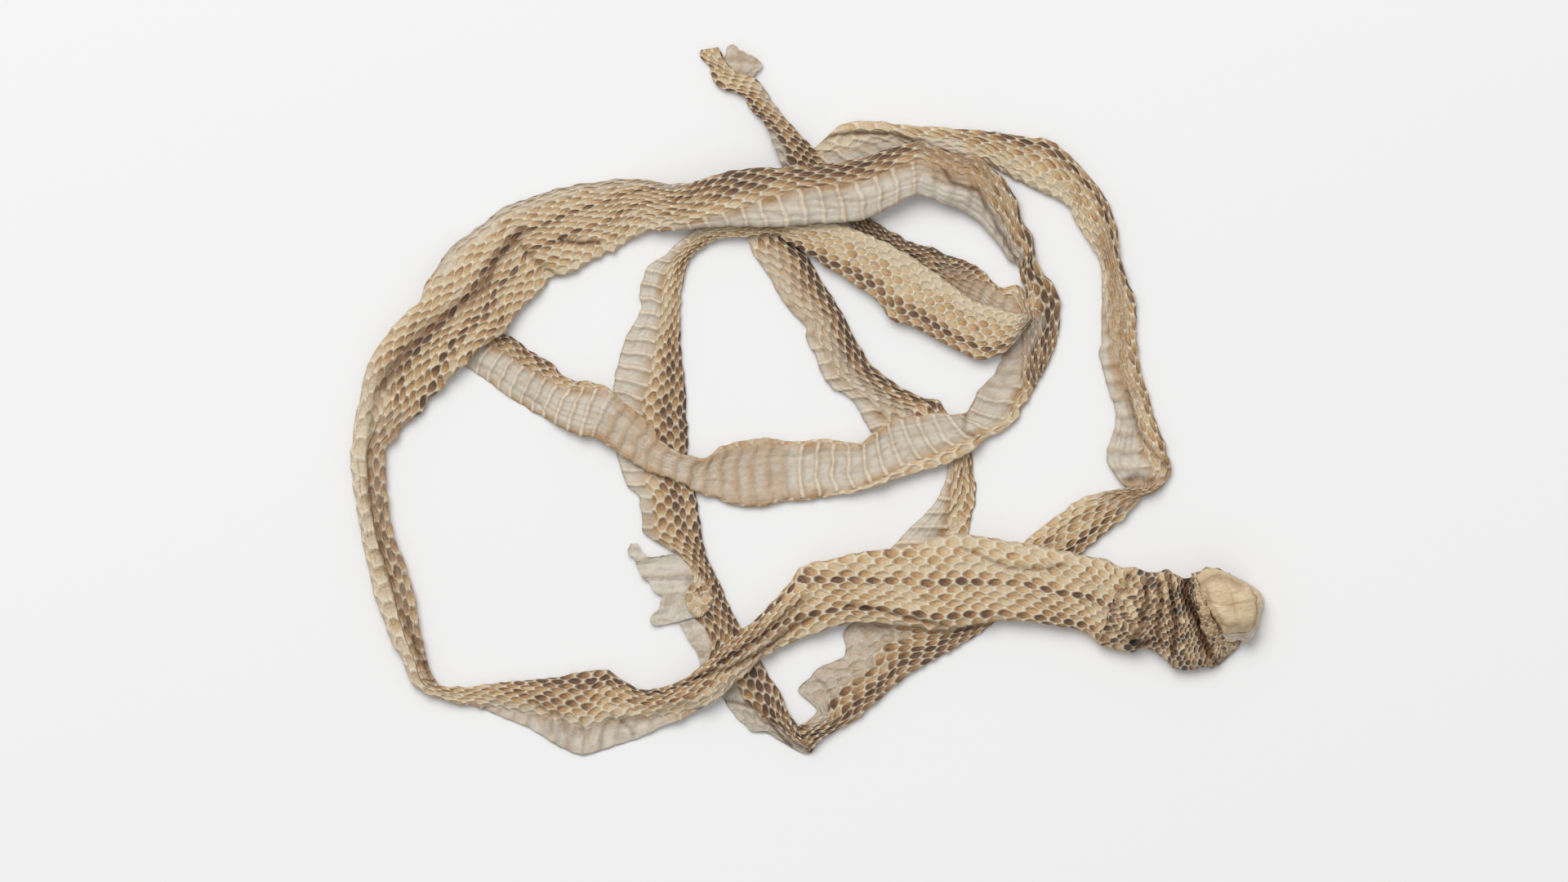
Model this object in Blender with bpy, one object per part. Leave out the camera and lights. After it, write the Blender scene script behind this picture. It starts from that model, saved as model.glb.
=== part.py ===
"""Shed snake skin: a slough lying in loose loops, torn into two lengths.

Each length is a collapsed tube of thin dry skin, drawn as a row of stations from the head towards
the tail.  A station holds the two edges of the skin as seen from above: the one on the left of
somebody who walks tailwards along it, and the one on the right.  The tube between the two edges is
a flat, slightly crowned loop of skin with a level underside, so that it lies on a table or on the
strand beneath it.  The origin is the middle of the slough's bounding box, on the table.
"""
import bpy
import bmesh
from mathutils import Vector

MM = 0.001                # the tables below are in millimetres, the model is in metres

# Section of the collapsed tube: places across its width, as shares of it, and the height of the
# skin there, as shares of its thickness.  The underside is level between the two shoulders.
SHOULDER = 0.13
FLANK = 0.38
OVER_THE_TOP = [(0.0, 0.40), (SHOULDER, 0.86), (FLANK, 1.0),
                (1 - FLANK, 1.0), (1 - SHOULDER, 0.86), (1.0, 0.40)]
UNDERNEATH = [(1 - SHOULDER, 0.0), (1 - FLANK, 0.0), (FLANK, 0.0), (SHOULDER, 0.0)]

# Edges of the head length, in millimetres: (left x, left y, right x, right y) for each station.
HEAD_LENGTH_EDGES = [
    # head cap, from the open lip back to the collar
    (140.9, -67.5, 141.2, -61.8), (139.8, -71.5, 139.0, -58.5), (137.5, -75.0, 135.5, -56.2),
    (133.5, -77.0, 131.0, -54.2), (129.5, -80.0, 127.0, -53.0), (126.0, -82.8, 123.5, -52.4),
    (121.5, -83.8, 120.5, -54.6),
    # wrinkled neck
    (117.5, -84.5, 117.5, -55.8), (113.5, -83.8, 114.5, -55.0), (110.5, -80.8, 111.5, -53.2),
    (107.5, -78.8, 107.5, -54.1), (104.0, -77.4, 103.8, -53.4), (100.5, -78.8, 100.5, -52.4),
    (96.0, -78.2, 96.5, -52.3), (91.0, -76.8, 92.5, -49.9), (87.5, -73.8, 88.0, -49.3),
    # broad strand behind the neck, back upwards
    (83.0, -71.5, 83.5, -48.2), (79.0, -71.2, 79.0, -47.3), (75.0, -70.2, 74.5, -46.3),
    (70.0, -69.5, 69.5, -45.4), (65.0, -69.1, 64.5, -44.7), (60.0, -68.8, 59.5, -43.8),
    (55.0, -69.6, 54.5, -42.9), (50.0, -70.4, 49.5, -42.3), (45.0, -71.3, 44.5, -42.1),
    (40.0, -72.0, 39.5, -43.3), (35.0, -71.2, 34.5, -44.9), (30.0, -70.5, 29.5, -45.9),
    (25.0, -70.0, 24.5, -46.8), (20.0, -69.6, 19.5, -47.3), (15.0, -69.7, 14.5, -47.9),
    (10.5, -70.2, 9.0, -49.6), (6.5, -71.4, 4.0, -50.4), (2.5, -72.8, 0.0, -51.4),
    (-1.5, -74.2, -3.2, -53.2), (-5.0, -75.7, -5.3, -56.4), (-8.0, -77.3, -8.0, -59.6),
    # gathered stretch
    (-11.0, -78.7, -10.8, -62.8), (-13.8, -80.0, -14.2, -66.4), (-16.5, -82.5, -17.5, -69.6),
    (-19.5, -85.6, -21.5, -72.6), (-23.0, -88.5, -25.5, -76.0), (-26.5, -92.0, -29.5, -79.6),
    (-30.5, -94.8, -33.5, -83.2), (-35.0, -97.2, -37.5, -86.3), (-39.5, -99.7, -42.0, -88.6),
    (-44.5, -101.6, -46.5, -90.1), (-49.0, -103.7, -50.5, -90.4), (-54.0, -106.0, -54.5, -89.4),
    # fan of belly skin
    (-59.0, -107.6, -58.5, -87.0), (-64.5, -109.4, -62.5, -84.4), (-70.3, -110.7, -67.0, -84.5),
    (-75.5, -109.0, -72.5, -85.4), (-80.0, -106.7, -78.0, -86.6), (-84.5, -103.6, -83.0, -87.2),
    (-89.5, -101.2, -88.0, -87.6), (-95.0, -99.0, -93.5, -88.1), (-100.0, -97.0, -99.0, -88.7),
    (-104.0, -95.5, -104.0, -89.6), (-108.0, -95.4, -108.5, -89.7), (-112.5, -94.2, -112.0, -89.5),
    # tight corner and the narrow left side
    (-116.0, -92.9, -114.5, -89.1), (-119.5, -91.6, -115.8, -88.0), (-122.3, -89.4, -116.8, -86.2),
    (-124.2, -86.8, -117.6, -84.0), (-125.3, -83.0, -118.4, -81.0), (-127.0, -79.4, -119.4, -77.6),
    (-129.4, -76.0, -120.2, -74.0), (-130.8, -71.8, -120.9, -70.2), (-132.6, -67.4, -121.6, -65.6),
    (-134.0, -62.8, -122.4, -61.0), (-135.4, -57.8, -123.6, -56.4), (-136.4, -53.0, -125.4, -51.6),
    (-137.6, -48.0, -127.2, -46.8), (-138.7, -43.4, -128.9, -42.0), (-139.4, -38.6, -129.9, -37.4),
    (-140.3, -33.6, -130.5, -32.6), (-141.2, -28.2, -130.9, -27.6), (-141.5, -23.4, -131.3, -22.6),
    (-142.1, -18.5, -131.3, -18.0), (-141.4, -13.6, -130.6, -14.4), (-141.2, -9.4, -128.2, -12.4),
    # broad upper left curve
    (-140.4, -4.8, -126.0, -9.2), (-139.2, -0.4, -122.4, -6.0), (-138.5, 4.0, -119.2, -3.6),
    (-137.6, 8.0, -117.8, -0.4), (-135.8, 12.2, -114.2, 2.6), (-133.4, 16.4, -111.8, 5.4),
    (-130.4, 20.2, -109.0, 8.6), (-127.2, 24.0, -106.2, 10.6), (-123.6, 27.4, -103.6, 13.6),
    (-120.2, 30.8, -100.6, 16.4), (-119.0, 35.2, -97.0, 18.6), (-115.8, 39.6, -94.0, 20.8),
    (-113.0, 44.4, -91.8, 24.2), (-109.4, 48.2, -88.8, 28.0), (-105.2, 51.2, -84.8, 31.4),
    (-101.0, 54.2, -81.8, 35.0), (-97.0, 57.8, -79.4, 37.6), (-91.8, 60.6, -75.0, 38.2),
    (-86.6, 62.2, -71.0, 40.2), (-81.6, 64.0, -67.4, 42.2), (-76.4, 65.4, -64.0, 44.2),
    (-71.0, 66.6, -60.0, 45.9), (-65.6, 67.2, -57.2, 47.9), (-60.0, 68.0, -53.6, 50.0),
    (-54.6, 68.1, -50.0, 51.7), (-49.4, 67.6, -45.6, 51.6), (-44.4, 66.7, -41.0, 51.9),
    # top strand, rolled so that the belly scutes show
    (-39.6, 66.4, -36.6, 52.4), (-34.8, 67.1, -32.0, 53.0), (-30.0, 68.9, -27.2, 53.2),
    (-25.0, 70.2, -22.4, 53.2), (-20.0, 71.0, -17.4, 53.2), (-15.0, 71.5, -12.2, 53.0),
    (-10.0, 71.3, -7.0, 53.3), (-5.0, 71.6, -2.0, 53.8), (0.0, 72.0, 3.0, 54.1),
    (5.0, 72.7, 8.0, 54.3), (10.0, 73.1, 13.0, 54.7), (15.0, 74.0, 17.8, 55.5),
    (20.0, 75.5, 21.8, 57.3), (25.0, 77.5, 26.0, 59.5), (30.0, 79.0, 30.0, 61.6),
    # turn into the inner right loop
    (35.0, 79.3, 33.6, 62.9), (40.0, 77.6, 37.4, 62.0), (45.0, 75.8, 41.4, 60.2),
    (50.0, 75.3, 45.6, 58.8), (53.4, 74.4, 49.2, 57.0), (56.4, 71.6, 52.4, 54.8),
    (59.0, 69.6, 55.0, 52.2), (61.6, 66.4, 57.0, 50.0), (63.6, 63.2, 58.8, 47.8),
    (65.0, 59.8, 60.2, 45.6), (66.2, 55.8, 61.8, 43.2), (68.4, 52.4, 63.8, 42.2),
    (69.8, 49.2, 65.0, 41.4), (70.2, 45.6, 65.4, 39.8), (70.8, 42.0, 65.8, 37.8),
    (72.6, 39.2, 66.6, 35.6), (75.0, 36.6, 67.8, 33.4), (76.8, 33.8, 69.2, 31.0),
    (77.9, 30.4, 69.9, 28.4), (78.2, 26.8, 69.9, 25.6), (77.8, 23.0, 67.8, 22.8),
    (77.4, 19.4, 64.4, 19.8), (76.4, 16.0, 62.0, 16.8), (75.2, 12.6, 60.4, 13.8),
    (73.6, 9.2, 59.2, 10.6), (71.6, 6.0, 57.6, 7.4), (70.0, 2.8, 55.0, 5.0),
    (68.2, -0.2, 53.0, 2.6), (66.4, -3.2, 51.4, 0.0), (64.4, -6.8, 50.2, -2.8),
    (61.2, -9.6, 48.4, -4.4), (57.6, -11.0, 46.4, -5.0), (54.4, -13.0, 44.2, -5.1),
    # middle strand, belly upwards
    (51.4, -15.8, 41.8, -4.6), (48.4, -17.8, 39.0, -4.5), (45.0, -19.5, 36.0, -5.2),
    (41.4, -20.9, 33.0, -5.7), (37.6, -21.9, 29.8, -6.1), (33.6, -23.2, 26.6, -6.8),
    (29.6, -24.3, 23.6, -8.2), (25.4, -25.9, 21.0, -10.2), (21.2, -27.4, 18.4, -12.3),
    (17.0, -28.6, 15.4, -14.0), (12.6, -29.6, 11.6, -13.5), (8.2, -30.2, 7.4, -12.9),
    (3.6, -31.0, 3.0, -12.7), (-1.0, -31.8, -1.6, -13.3), (-5.6, -31.9, -6.2, -13.3),
    (-10.0, -32.5, -10.6, -12.6), (-14.4, -33.7, -14.8, -12.4), (-19.0, -33.7, -18.8, -12.9),
    (-23.4, -33.2, -22.4, -13.6), (-27.4, -31.6, -25.8, -14.6), (-31.4, -30.4, -29.0, -16.4),
    (-35.0, -28.9, -32.2, -18.6), (-38.4, -26.8, -36.0, -18.0), (-42.0, -25.2, -39.6, -17.0),
    (-46.0, -24.0, -43.0, -15.6), (-50.0, -22.6, -46.0, -12.8), (-54.0, -20.2, -48.8, -9.0),
    (-57.6, -18.2, -51.6, -5.8), (-60.6, -15.8, -54.4, -3.6), (-63.8, -13.9, -57.4, -1.2),
    (-66.8, -11.9, -60.4, 1.6), (-70.0, -12.0, -64.0, 4.2), (-74.0, -10.2, -68.2, 5.2),
    (-78.0, -8.4, -72.6, 5.6), (-82.0, -6.0, -76.4, 7.2), (-86.0, -3.8, -79.6, 10.9),
    (-90.0, -1.4, -83.6, 13.0), (-94.0, 1.2, -87.4, 15.6), (-98.0, 4.2, -91.2, 18.4),
    # torn end, tucked under the upper left curve
    (-102.0, 7.0, -95.4, 20.4), (-106.0, 9.6, -99.6, 21.8), (-110.2, 12.0, -105.0, 22.4),
    (-114.0, 14.6, -110.4, 21.6),
]

# Edges of the tail length, in millimetres, from its torn end to the tail tip.
TAIL_LENGTH_EDGES = [
    # torn end under the broad strand, then up to the middle strand
    (22.0, -57.0, 38.0, -61.0), (23.5, -52.5, 43.0, -54.0), (25.0, -47.6, 47.5, -47.0),
    (28.5, -43.4, 49.6, -42.4), (32.0, -39.8, 50.2, -38.4), (36.0, -36.0, 51.2, -34.6),
    (39.6, -32.0, 52.0, -30.4), (41.4, -28.4, 51.8, -26.6), (42.6, -24.8, 51.0, -23.0),
    (43.4, -21.6, 51.0, -19.4), (42.6, -18.8, 50.6, -16.0), (39.5, -17.0, 49.6, -12.6),
    (33.5, -15.0, 47.0, -8.8), (26.5, -13.2, 44.2, -5.8), (20.6, -11.2, 42.2, -3.4),
    # inner left side of the lower loop, with a pale torn edge
    (18.6, -8.8, 40.6, -0.6), (16.6, -5.6, 36.6, -0.2), (14.8, -2.4, 33.2, 1.2),
    (12.6, 0.4, 29.6, 2.8), (9.8, 1.8, 26.0, 5.2), (7.6, 3.0, 22.8, 7.6),
    (5.4, 5.4, 19.8, 9.8), (4.0, 7.6, 18.0, 12.4), (3.0, 10.4, 16.4, 15.2),
    (2.2, 13.2, 14.8, 17.8), (0.6, 15.8, 13.4, 20.6), (-0.8, 18.6, 12.0, 23.4),
    (-0.9, 21.8, 10.6, 26.2), (-2.6, 24.2, 8.8, 29.2), (-5.0, 26.4, 7.0, 32.0),
    (-7.4, 29.4, 5.0, 35.0), (-9.4, 32.6, 3.2, 38.0), (-11.2, 35.8, 1.6, 41.0),
    (-13.2, 39.2, -0.2, 43.8), (-15.2, 42.0, -2.6, 46.4), (-17.0, 44.6, -4.8, 48.6),
    (-18.4, 47.6, -6.4, 51.0), (-19.2, 50.6, -7.6, 53.6),
    # hidden under the top strand
    (-19.0, 54.4, -7.0, 55.8), (-17.4, 58.4, -4.8, 58.0), (-14.6, 62.2, -2.2, 60.0),
    (-11.6, 66.4, 1.2, 61.8), (-9.2, 70.6, 5.4, 63.4), (-6.0, 74.4, 10.0, 64.6),
    (-1.0, 76.4, 13.5, 65.6), (3.4, 79.0, 17.5, 66.6),
    # outer right loop, over the top
    (6.6, 82.2, 21.5, 67.6), (10.2, 84.9, 25.0, 68.6), (15.0, 86.0, 28.5, 69.6),
    (20.0, 86.1, 32.0, 70.4), (25.0, 85.5, 35.5, 71.0), (30.0, 84.9, 39.0, 71.6),
    (35.0, 84.3, 42.5, 72.2), (40.0, 84.2, 46.5, 73.0), (45.0, 83.8, 50.5, 73.6),
    (50.0, 83.3, 54.5, 73.2), (55.0, 83.0, 58.0, 71.4), (60.0, 82.3, 61.6, 69.4),
    (65.0, 81.6, 65.6, 67.2), (70.0, 80.7, 69.6, 65.2), (75.2, 79.9, 73.4, 63.5),
    (79.2, 77.0, 76.8, 61.9), (82.2, 74.2, 79.8, 60.4), (85.2, 71.2, 81.4, 58.8),
    (88.2, 67.6, 82.2, 56.6), (91.0, 64.2, 83.2, 54.2), (93.2, 60.0, 84.8, 51.8),
    (94.8, 55.6, 86.8, 48.8), (96.1, 50.6, 88.8, 45.6), (96.2, 46.0, 90.4, 42.2),
    # down the right side
    (97.4, 41.4, 91.1, 38.8), (99.0, 36.8, 91.1, 35.2), (100.6, 32.4, 91.2, 31.2),
    (101.7, 27.6, 90.9, 27.0), (101.8, 22.8, 90.9, 22.6), (101.8, 18.0, 90.9, 18.2),
    (102.2, 13.4, 90.4, 13.2), (103.1, 8.8, 91.2, 8.8), (104.4, 4.2, 92.6, 4.4),
    (105.9, -0.4, 94.0, -0.2), (107.2, -5.0, 95.3, -4.6), (108.6, -9.4, 95.2, -8.6),
    (110.2, -13.4, 93.8, -12.6), (111.5, -17.4, 92.6, -16.6), (112.3, -21.2, 93.3, -21.0),
    (112.3, -23.6, 95.6, -24.6), (111.2, -25.8, 97.8, -26.8),
    # pinched corner, and back under the broad strand
    (109.4, -28.0, 98.4, -27.7), (106.8, -29.4, 97.4, -28.1), (103.8, -30.4, 95.0, -28.4),
    (102.0, -32.6, 91.6, -29.0), (99.2, -35.8, 88.0, -30.1), (96.0, -38.8, 84.6, -31.4),
    (92.6, -41.4, 81.2, -33.6), (89.4, -44.2, 77.6, -36.2), (86.4, -46.6, 74.0, -38.8),
    (83.4, -49.0, 70.6, -41.4), (79.5, -51.8, 66.8, -44.6), (75.5, -54.6, 62.5, -48.0),
    (71.5, -57.6, 58.0, -51.6), (67.5, -61.0, 53.8, -55.2), (63.5, -64.6, 49.8, -58.6),
    (60.2, -67.8, 46.2, -61.8), (57.0, -70.2, 43.0, -64.6),
    # lower strand with its torn belly flap
    (53.0, -73.0, 38.5, -66.8), (49.0, -75.4, 33.0, -68.0), (45.0, -77.8, 27.0, -68.6),
    (41.0, -80.0, 21.0, -69.0), (37.0, -82.2, 14.5, -69.6), (33.4, -84.4, 10.8, -73.0),
    (30.0, -86.4, 10.4, -77.0), (26.6, -89.2, 8.6, -80.6), (23.4, -92.2, 4.0, -83.2),
    (20.2, -94.8, 0.0, -87.0), (17.0, -97.8, -3.2, -90.6), (13.8, -100.4, -0.2, -93.8),
    (10.0, -102.4, 2.6, -96.8), (6.6, -104.2, 1.4, -98.6), (4.4, -105.4, -0.6, -100.4),
    # bottom corner
    (2.4, -107.6, -2.2, -101.6), (0.2, -110.4, -3.0, -102.0), (-3.6, -109.4, -3.8, -101.6),
    (-7.0, -107.4, -4.8, -100.0), (-10.4, -105.3, -6.0, -97.6), (-14.2, -103.8, -7.2, -95.6),
    (-18.2, -103.0, -8.4, -92.6), (-21.8, -99.6, -10.0, -89.4), (-24.4, -96.4, -12.0, -86.6),
    (-26.8, -93.0, -13.8, -83.4),
    # under the gathered stretch
    (-28.6, -89.6, -15.6, -80.2), (-30.2, -86.6, -17.4, -76.8), (-32.6, -83.4, -19.6, -73.0),
    (-34.4, -80.0, -21.8, -69.8), (-36.2, -76.4, -23.6, -66.6), (-38.6, -72.6, -25.2, -63.2),
    # torn belly flaps on the left
    (-41.4, -69.6, -26.4, -60.0), (-48.8, -68.0, -27.6, -57.6), (-46.0, -63.4, -28.6, -55.2),
    (-49.6, -58.8, -30.2, -52.4), (-52.4, -54.6, -31.4, -49.6), (-54.4, -49.8, -32.4, -46.4),
    (-51.8, -45.2, -33.0, -43.2), (-51.4, -41.6, -33.5, -39.8), (-51.6, -37.6, -34.0, -36.4),
    (-52.2, -33.6, -34.6, -33.0), (-53.0, -30.2, -35.1, -29.8), (-56.2, -27.0, -35.8, -26.6),
    # under the middle strand
    (-57.8, -23.4, -36.6, -23.2), (-59.2, -18.6, -37.4, -19.8), (-60.0, -14.0, -37.6, -16.4),
    (-60.4, -9.4, -37.4, -12.8), (-60.6, -4.6, -37.7, -8.8), (-60.7, 0.0, -38.0, -4.4),
    # upper left side of the hanging loop
    (-60.6, 4.0, -38.0, 0.0), (-59.8, 8.0, -38.4, 4.6), (-58.9, 12.0, -38.9, 9.2),
    (-57.7, 16.0, -39.5, 13.8), (-56.1, 20.2, -39.7, 18.2), (-53.6, 24.2, -39.8, 22.6),
    (-51.9, 28.4, -39.9, 27.2), (-52.4, 33.0, -39.6, 31.6), (-51.6, 37.0, -39.0, 35.8),
    (-49.6, 41.2, -38.2, 39.6), (-46.4, 43.4, -37.0, 42.8), (-43.4, 45.6, -35.6, 44.9),
    (-40.4, 48.6, -33.8, 46.3), (-37.4, 50.8, -31.6, 47.8), (-33.6, 53.0, -29.2, 49.0),
    (-29.4, 53.9, -26.2, 49.8), (-24.8, 54.4, -22.6, 50.0), (-20.2, 54.8, -19.0, 50.1),
    (-15.4, 54.9, -15.4, 50.6),
    # broad strand down to the right
    (-10.8, 54.8, -11.4, 51.2), (-6.0, 54.8, -8.0, 49.4), (-0.6, 54.8, -4.8, 47.7),
    (5.0, 54.8, -1.6, 45.8), (10.0, 54.2, 1.8, 43.3), (14.6, 52.4, 5.4, 40.8),
    (19.0, 50.5, 9.4, 38.6), (23.0, 48.9, 13.4, 35.8), (26.8, 47.0, 17.0, 33.4),
    (30.6, 44.8, 20.4, 31.1), (34.2, 42.6, 23.2, 27.8), (37.6, 40.2, 26.0, 23.9),
    (41.0, 37.8, 30.4, 23.0), (44.6, 35.2, 34.6, 21.0), (48.0, 32.4, 38.6, 18.9),
    (51.6, 30.2, 43.0, 16.5), (55.4, 29.0, 47.6, 14.2), (59.2, 27.9, 52.4, 12.0),
    (62.8, 26.9, 57.6, 12.7), (65.4, 26.4, 62.0, 15.2), (67.0, 26.3, 65.4, 19.0),
    (67.9, 26.6, 68.0, 23.0),
    # pinched corner, and back beneath that strand
    (67.6, 27.2, 69.2, 25.2), (66.6, 27.6, 68.9, 27.6), (65.6, 28.0, 68.0, 30.6),
    (64.0, 28.2, 66.6, 33.4), (62.0, 28.2, 64.6, 35.2), (59.6, 28.2, 61.0, 34.4),
    (56.6, 28.4, 58.0, 35.6), (52.6, 29.0, 54.8, 38.8), (48.6, 30.4, 51.6, 41.4),
    (44.6, 32.8, 47.6, 43.2), (40.6, 35.6, 43.0, 44.4), (36.8, 38.2, 39.2, 46.6),
    (32.8, 40.8, 35.0, 47.5), (28.6, 43.0, 31.0, 49.0), (24.4, 45.4, 27.0, 51.2),
    (20.2, 47.8, 23.2, 53.2), (16.4, 50.8, 19.4, 55.8), (12.6, 54.6, 16.4, 59.0),
    # hidden under the top strand
    (8.6, 57.4, 13.2, 62.0), (4.4, 60.6, 10.4, 65.2), (0.0, 64.2, 8.0, 68.0),
    (-4.6, 68.0, 6.0, 70.6), (-8.0, 71.8, 4.4, 73.4),
    # tail
    (-10.0, 76.4, 3.0, 75.6), (-11.4, 79.6, 1.0, 78.2), (-12.4, 83.2, -1.6, 80.8),
    (-14.2, 86.0, -4.2, 83.6), (-16.8, 88.6, -6.8, 86.6), (-19.0, 91.2, -9.6, 89.8),
    (-20.6, 94.4, -11.6, 92.6), (-24.0, 95.4, -13.4, 95.4), (-27.0, 96.8, -15.4, 98.2),
    (-29.8, 98.8, -17.0, 100.4), (-31.0, 102.0, -15.6, 102.8), (-33.2, 105.6, -15.2, 104.6),
    (-33.0, 108.4, -20.0, 108.0), (-30.4, 109.2, -23.6, 109.9),
]

# How high the underside lies at the left and the right edge, and how thick the collapsed tube is,
# in millimetres.  Each row starts with the station that it holds for; between rows they change
# evenly.  Where a strand crosses over another it lies on it, with a small gap between the two.
HEAD_LENGTH_LEVELS = [
    # station, left, right, thickness
    (0, 0.0, 0.0, 5.0), (1, 0.0, 0.0, 8.0), (2, 0.0, 0.0, 10.0), (4, 0.0, 0.0, 12.0),
    (6, 0.0, 0.0, 11.0), (7, 0.0, 0.0, 7.5), (8, 0.0, 0.0, 9.5), (9, 0.0, 0.0, 8.0),
    (10, 0.0, 0.0, 8.8), (11, 0.0, 0.0, 7.2), (12, 0.0, 0.0, 8.0), (13, 0.0, 0.0, 6.8),
    (14, 0.0, 0.0, 7.2), (15, 0.6, 0.8, 5.8), (16, 1.6, 2.2, 5.2), (17, 2.4, 2.6, 4.6),
    (30, 2.6, 2.6, 4.0), (32, 2.4, 2.0, 4.0), (34, 1.4, 0.8, 4.2), (36, 1.2, 0.8, 4.2),
    (37, 1.8, 1.4, 4.3), (38, 2.3, 2.2, 4.4), (39, 2.5, 2.5, 4.5), (44, 2.5, 2.5, 4.4),
    (45, 1.9, 1.9, 4.4), (46, 1.0, 1.0, 4.4), (47, 0.4, 0.4, 4.4), (48, 0.0, 0.0, 4.2),
    (52, 0.0, 0.0, 3.2), (58, 0.0, 0.0, 3.2), (61, 0.0, 0.0, 4.0), (64, 0.0, 0.0, 4.6),
    (81, 0.0, 0.0, 4.6), (84, 0.0, 0.0, 3.8), (86, 1.2, 1.2, 3.4), (88, 2.4, 2.4, 3.4),
    (94, 2.4, 2.4, 3.4), (95, 1.6, 1.6, 3.4), (97, 0.2, 0.2, 3.4), (98, 0.0, 0.0, 3.2),
    (104, 0.0, 0.0, 3.2), (106, 1.4, 1.4, 3.4), (109, 4.3, 4.3, 3.8), (110, 4.6, 4.6, 4.0),
    (124, 4.6, 4.4, 4.4), (126, 4.6, 2.8, 4.8), (128, 4.2, 1.2, 5.0), (129, 4.0, 0.6, 5.0),
    (130, 3.4, 0.2, 5.0), (131, 2.4, 0.0, 4.8), (133, 0.6, 0.0, 4.4), (134, 0.0, 0.0, 4.2),
    (142, 0.0, 0.0, 3.6), (144, 0.0, 0.0, 2.4), (149, 0.0, 0.0, 2.4), (152, 0.0, 0.0, 3.0),
    (155, 0.4, 0.6, 3.0), (156, 1.4, 1.6, 3.0), (157, 2.1, 2.2, 3.0), (165, 2.3, 2.3, 3.0),
    (166, 1.8, 1.9, 3.0), (167, 0.9, 1.1, 3.1), (168, 0.3, 0.3, 3.2), (169, 0.0, 0.0, 3.2),
    (176, 0.0, 0.0, 3.2), (177, 0.4, 0.4, 3.0), (178, 1.2, 1.2, 2.9), (179, 2.1, 2.1, 2.8),
    (180, 2.3, 2.3, 2.8), (188, 2.3, 2.3, 2.8), (189, 1.7, 1.7, 2.8), (191, 0.4, 0.4, 2.6),
    (192, 0.0, 0.0, 2.2), (194, 0.0, 0.0, 1.9), (199, 0.0, 0.0, 1.6),
]
TAIL_LENGTH_LEVELS = [
    (0, 0.0, 0.0, 1.4), (1, 0.0, 0.0, 1.8), (3, 0.0, 0.0, 1.9), (5, 0.0, 0.0, 2.4),
    (8, 0.0, 0.0, 2.4), (10, 0.0, 0.0, 1.8), (15, 0.0, 0.0, 1.8), (17, 0.0, 0.0, 2.6),
    (24, 0.0, 0.0, 2.8), (30, 0.0, 0.0, 2.4), (33, 0.0, 0.0, 1.8), (45, 0.0, 0.0, 1.8),
    (48, 0.0, 0.0, 3.0), (58, 0.0, 0.0, 3.2), (62, 0.0, 0.0, 3.6), (70, 0.0, 0.0, 3.6),
    (76, 0.0, 0.0, 3.2), (84, 0.0, 0.0, 3.6), (87, 0.0, 0.0, 4.2), (90, 0.0, 0.0, 4.0),
    (94, 0.0, 0.0, 3.0), (97, 0.0, 0.0, 2.0), (104, 0.0, 0.0, 2.0), (107, 0.0, 0.0, 2.6),
    (112, 0.0, 0.0, 3.0), (118, 0.0, 0.0, 3.6), (121, 0.0, 0.0, 4.2), (124, 0.0, 0.0, 3.4),
    (128, 0.0, 0.0, 2.0), (134, 0.0, 0.0, 2.0), (136, 0.0, 0.0, 2.6), (142, 0.0, 0.0, 2.6),
    (146, 0.0, 0.0, 2.2), (147, 0.0, 0.0, 1.8), (154, 0.0, 0.0, 1.8), (157, 0.0, 0.0, 2.6),
    (163, 0.0, 0.0, 3.0), (165, 0.0, 0.0, 2.8), (166, 0.5, 0.5, 2.6), (168, 1.8, 1.8, 2.2),
    (169, 2.2, 2.2, 2.0), (174, 2.2, 2.2, 2.0), (178, 2.2, 2.2, 2.4), (188, 2.3, 2.3, 2.4),
    (190, 2.7, 2.7, 2.2), (193, 2.7, 2.7, 2.2), (194, 2.2, 2.2, 2.4), (196, 1.0, 1.0, 2.0),
    (198, 0.2, 0.2, 1.8), (199, 0.0, 0.0, 1.8), (210, 0.0, 0.0, 1.7), (211, 0.3, 0.3, 1.7),
    (212, 0.9, 0.9, 1.7), (213, 1.8, 1.8, 1.7), (214, 2.2, 2.2, 1.7), (218, 2.2, 2.2, 2.2),
    (219, 1.8, 1.8, 2.6), (220, 1.0, 1.0, 3.0), (221, 0.3, 0.3, 3.2), (222, 0.0, 0.0, 3.4),
    (226, 0.0, 0.0, 3.0), (230, 0.0, 0.0, 1.2),
]

# Colours of the dry skin: the scaled back of the head length is a little warmer than the belly
# side that most of the tail length shows.
HEAD_LENGTH_COLOUR = (0.56, 0.42, 0.27, 1.0)
TAIL_LENGTH_COLOUR = (0.50, 0.39, 0.27, 1.0)
SKIN_ROUGHNESS = 0.55


def clear_scene():
    for thing in list(bpy.data.objects):
        bpy.data.objects.remove(thing, do_unlink=True)


def level_at(levels, station):
    """Height of the left edge, of the right edge, and thickness, at one station."""
    for (start, *low), (end, *high) in zip(levels, levels[1:]):
        if start <= station <= end:
            share = (station - start) / (end - start)
            return [a + (b - a) * share for a, b in zip(low, high)]
    return levels[-1][1:]


def middle_of(edges):
    """Middle of the ground that the stations cover, in millimetres."""
    across = [x for row in edges for x in row[0::2]]
    along = [y for row in edges for y in row[1::2]]
    return Vector(((min(across) + max(across)) / 2, (min(along) + max(along)) / 2, 0.0))


def ring_points(edges, level, middle):
    """The loop of skin at one station, over the top from left to right and back underneath."""
    left_x, left_y, right_x, right_y = edges
    left_z, right_z, thickness = level
    left = Vector((left_x, left_y, left_z)) - middle
    right = Vector((right_x, right_y, right_z)) - middle
    return [(left.lerp(right, across) + Vector((0, 0, up * thickness))) * MM
            for across, up in OVER_THE_TOP + UNDERNEATH]


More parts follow.
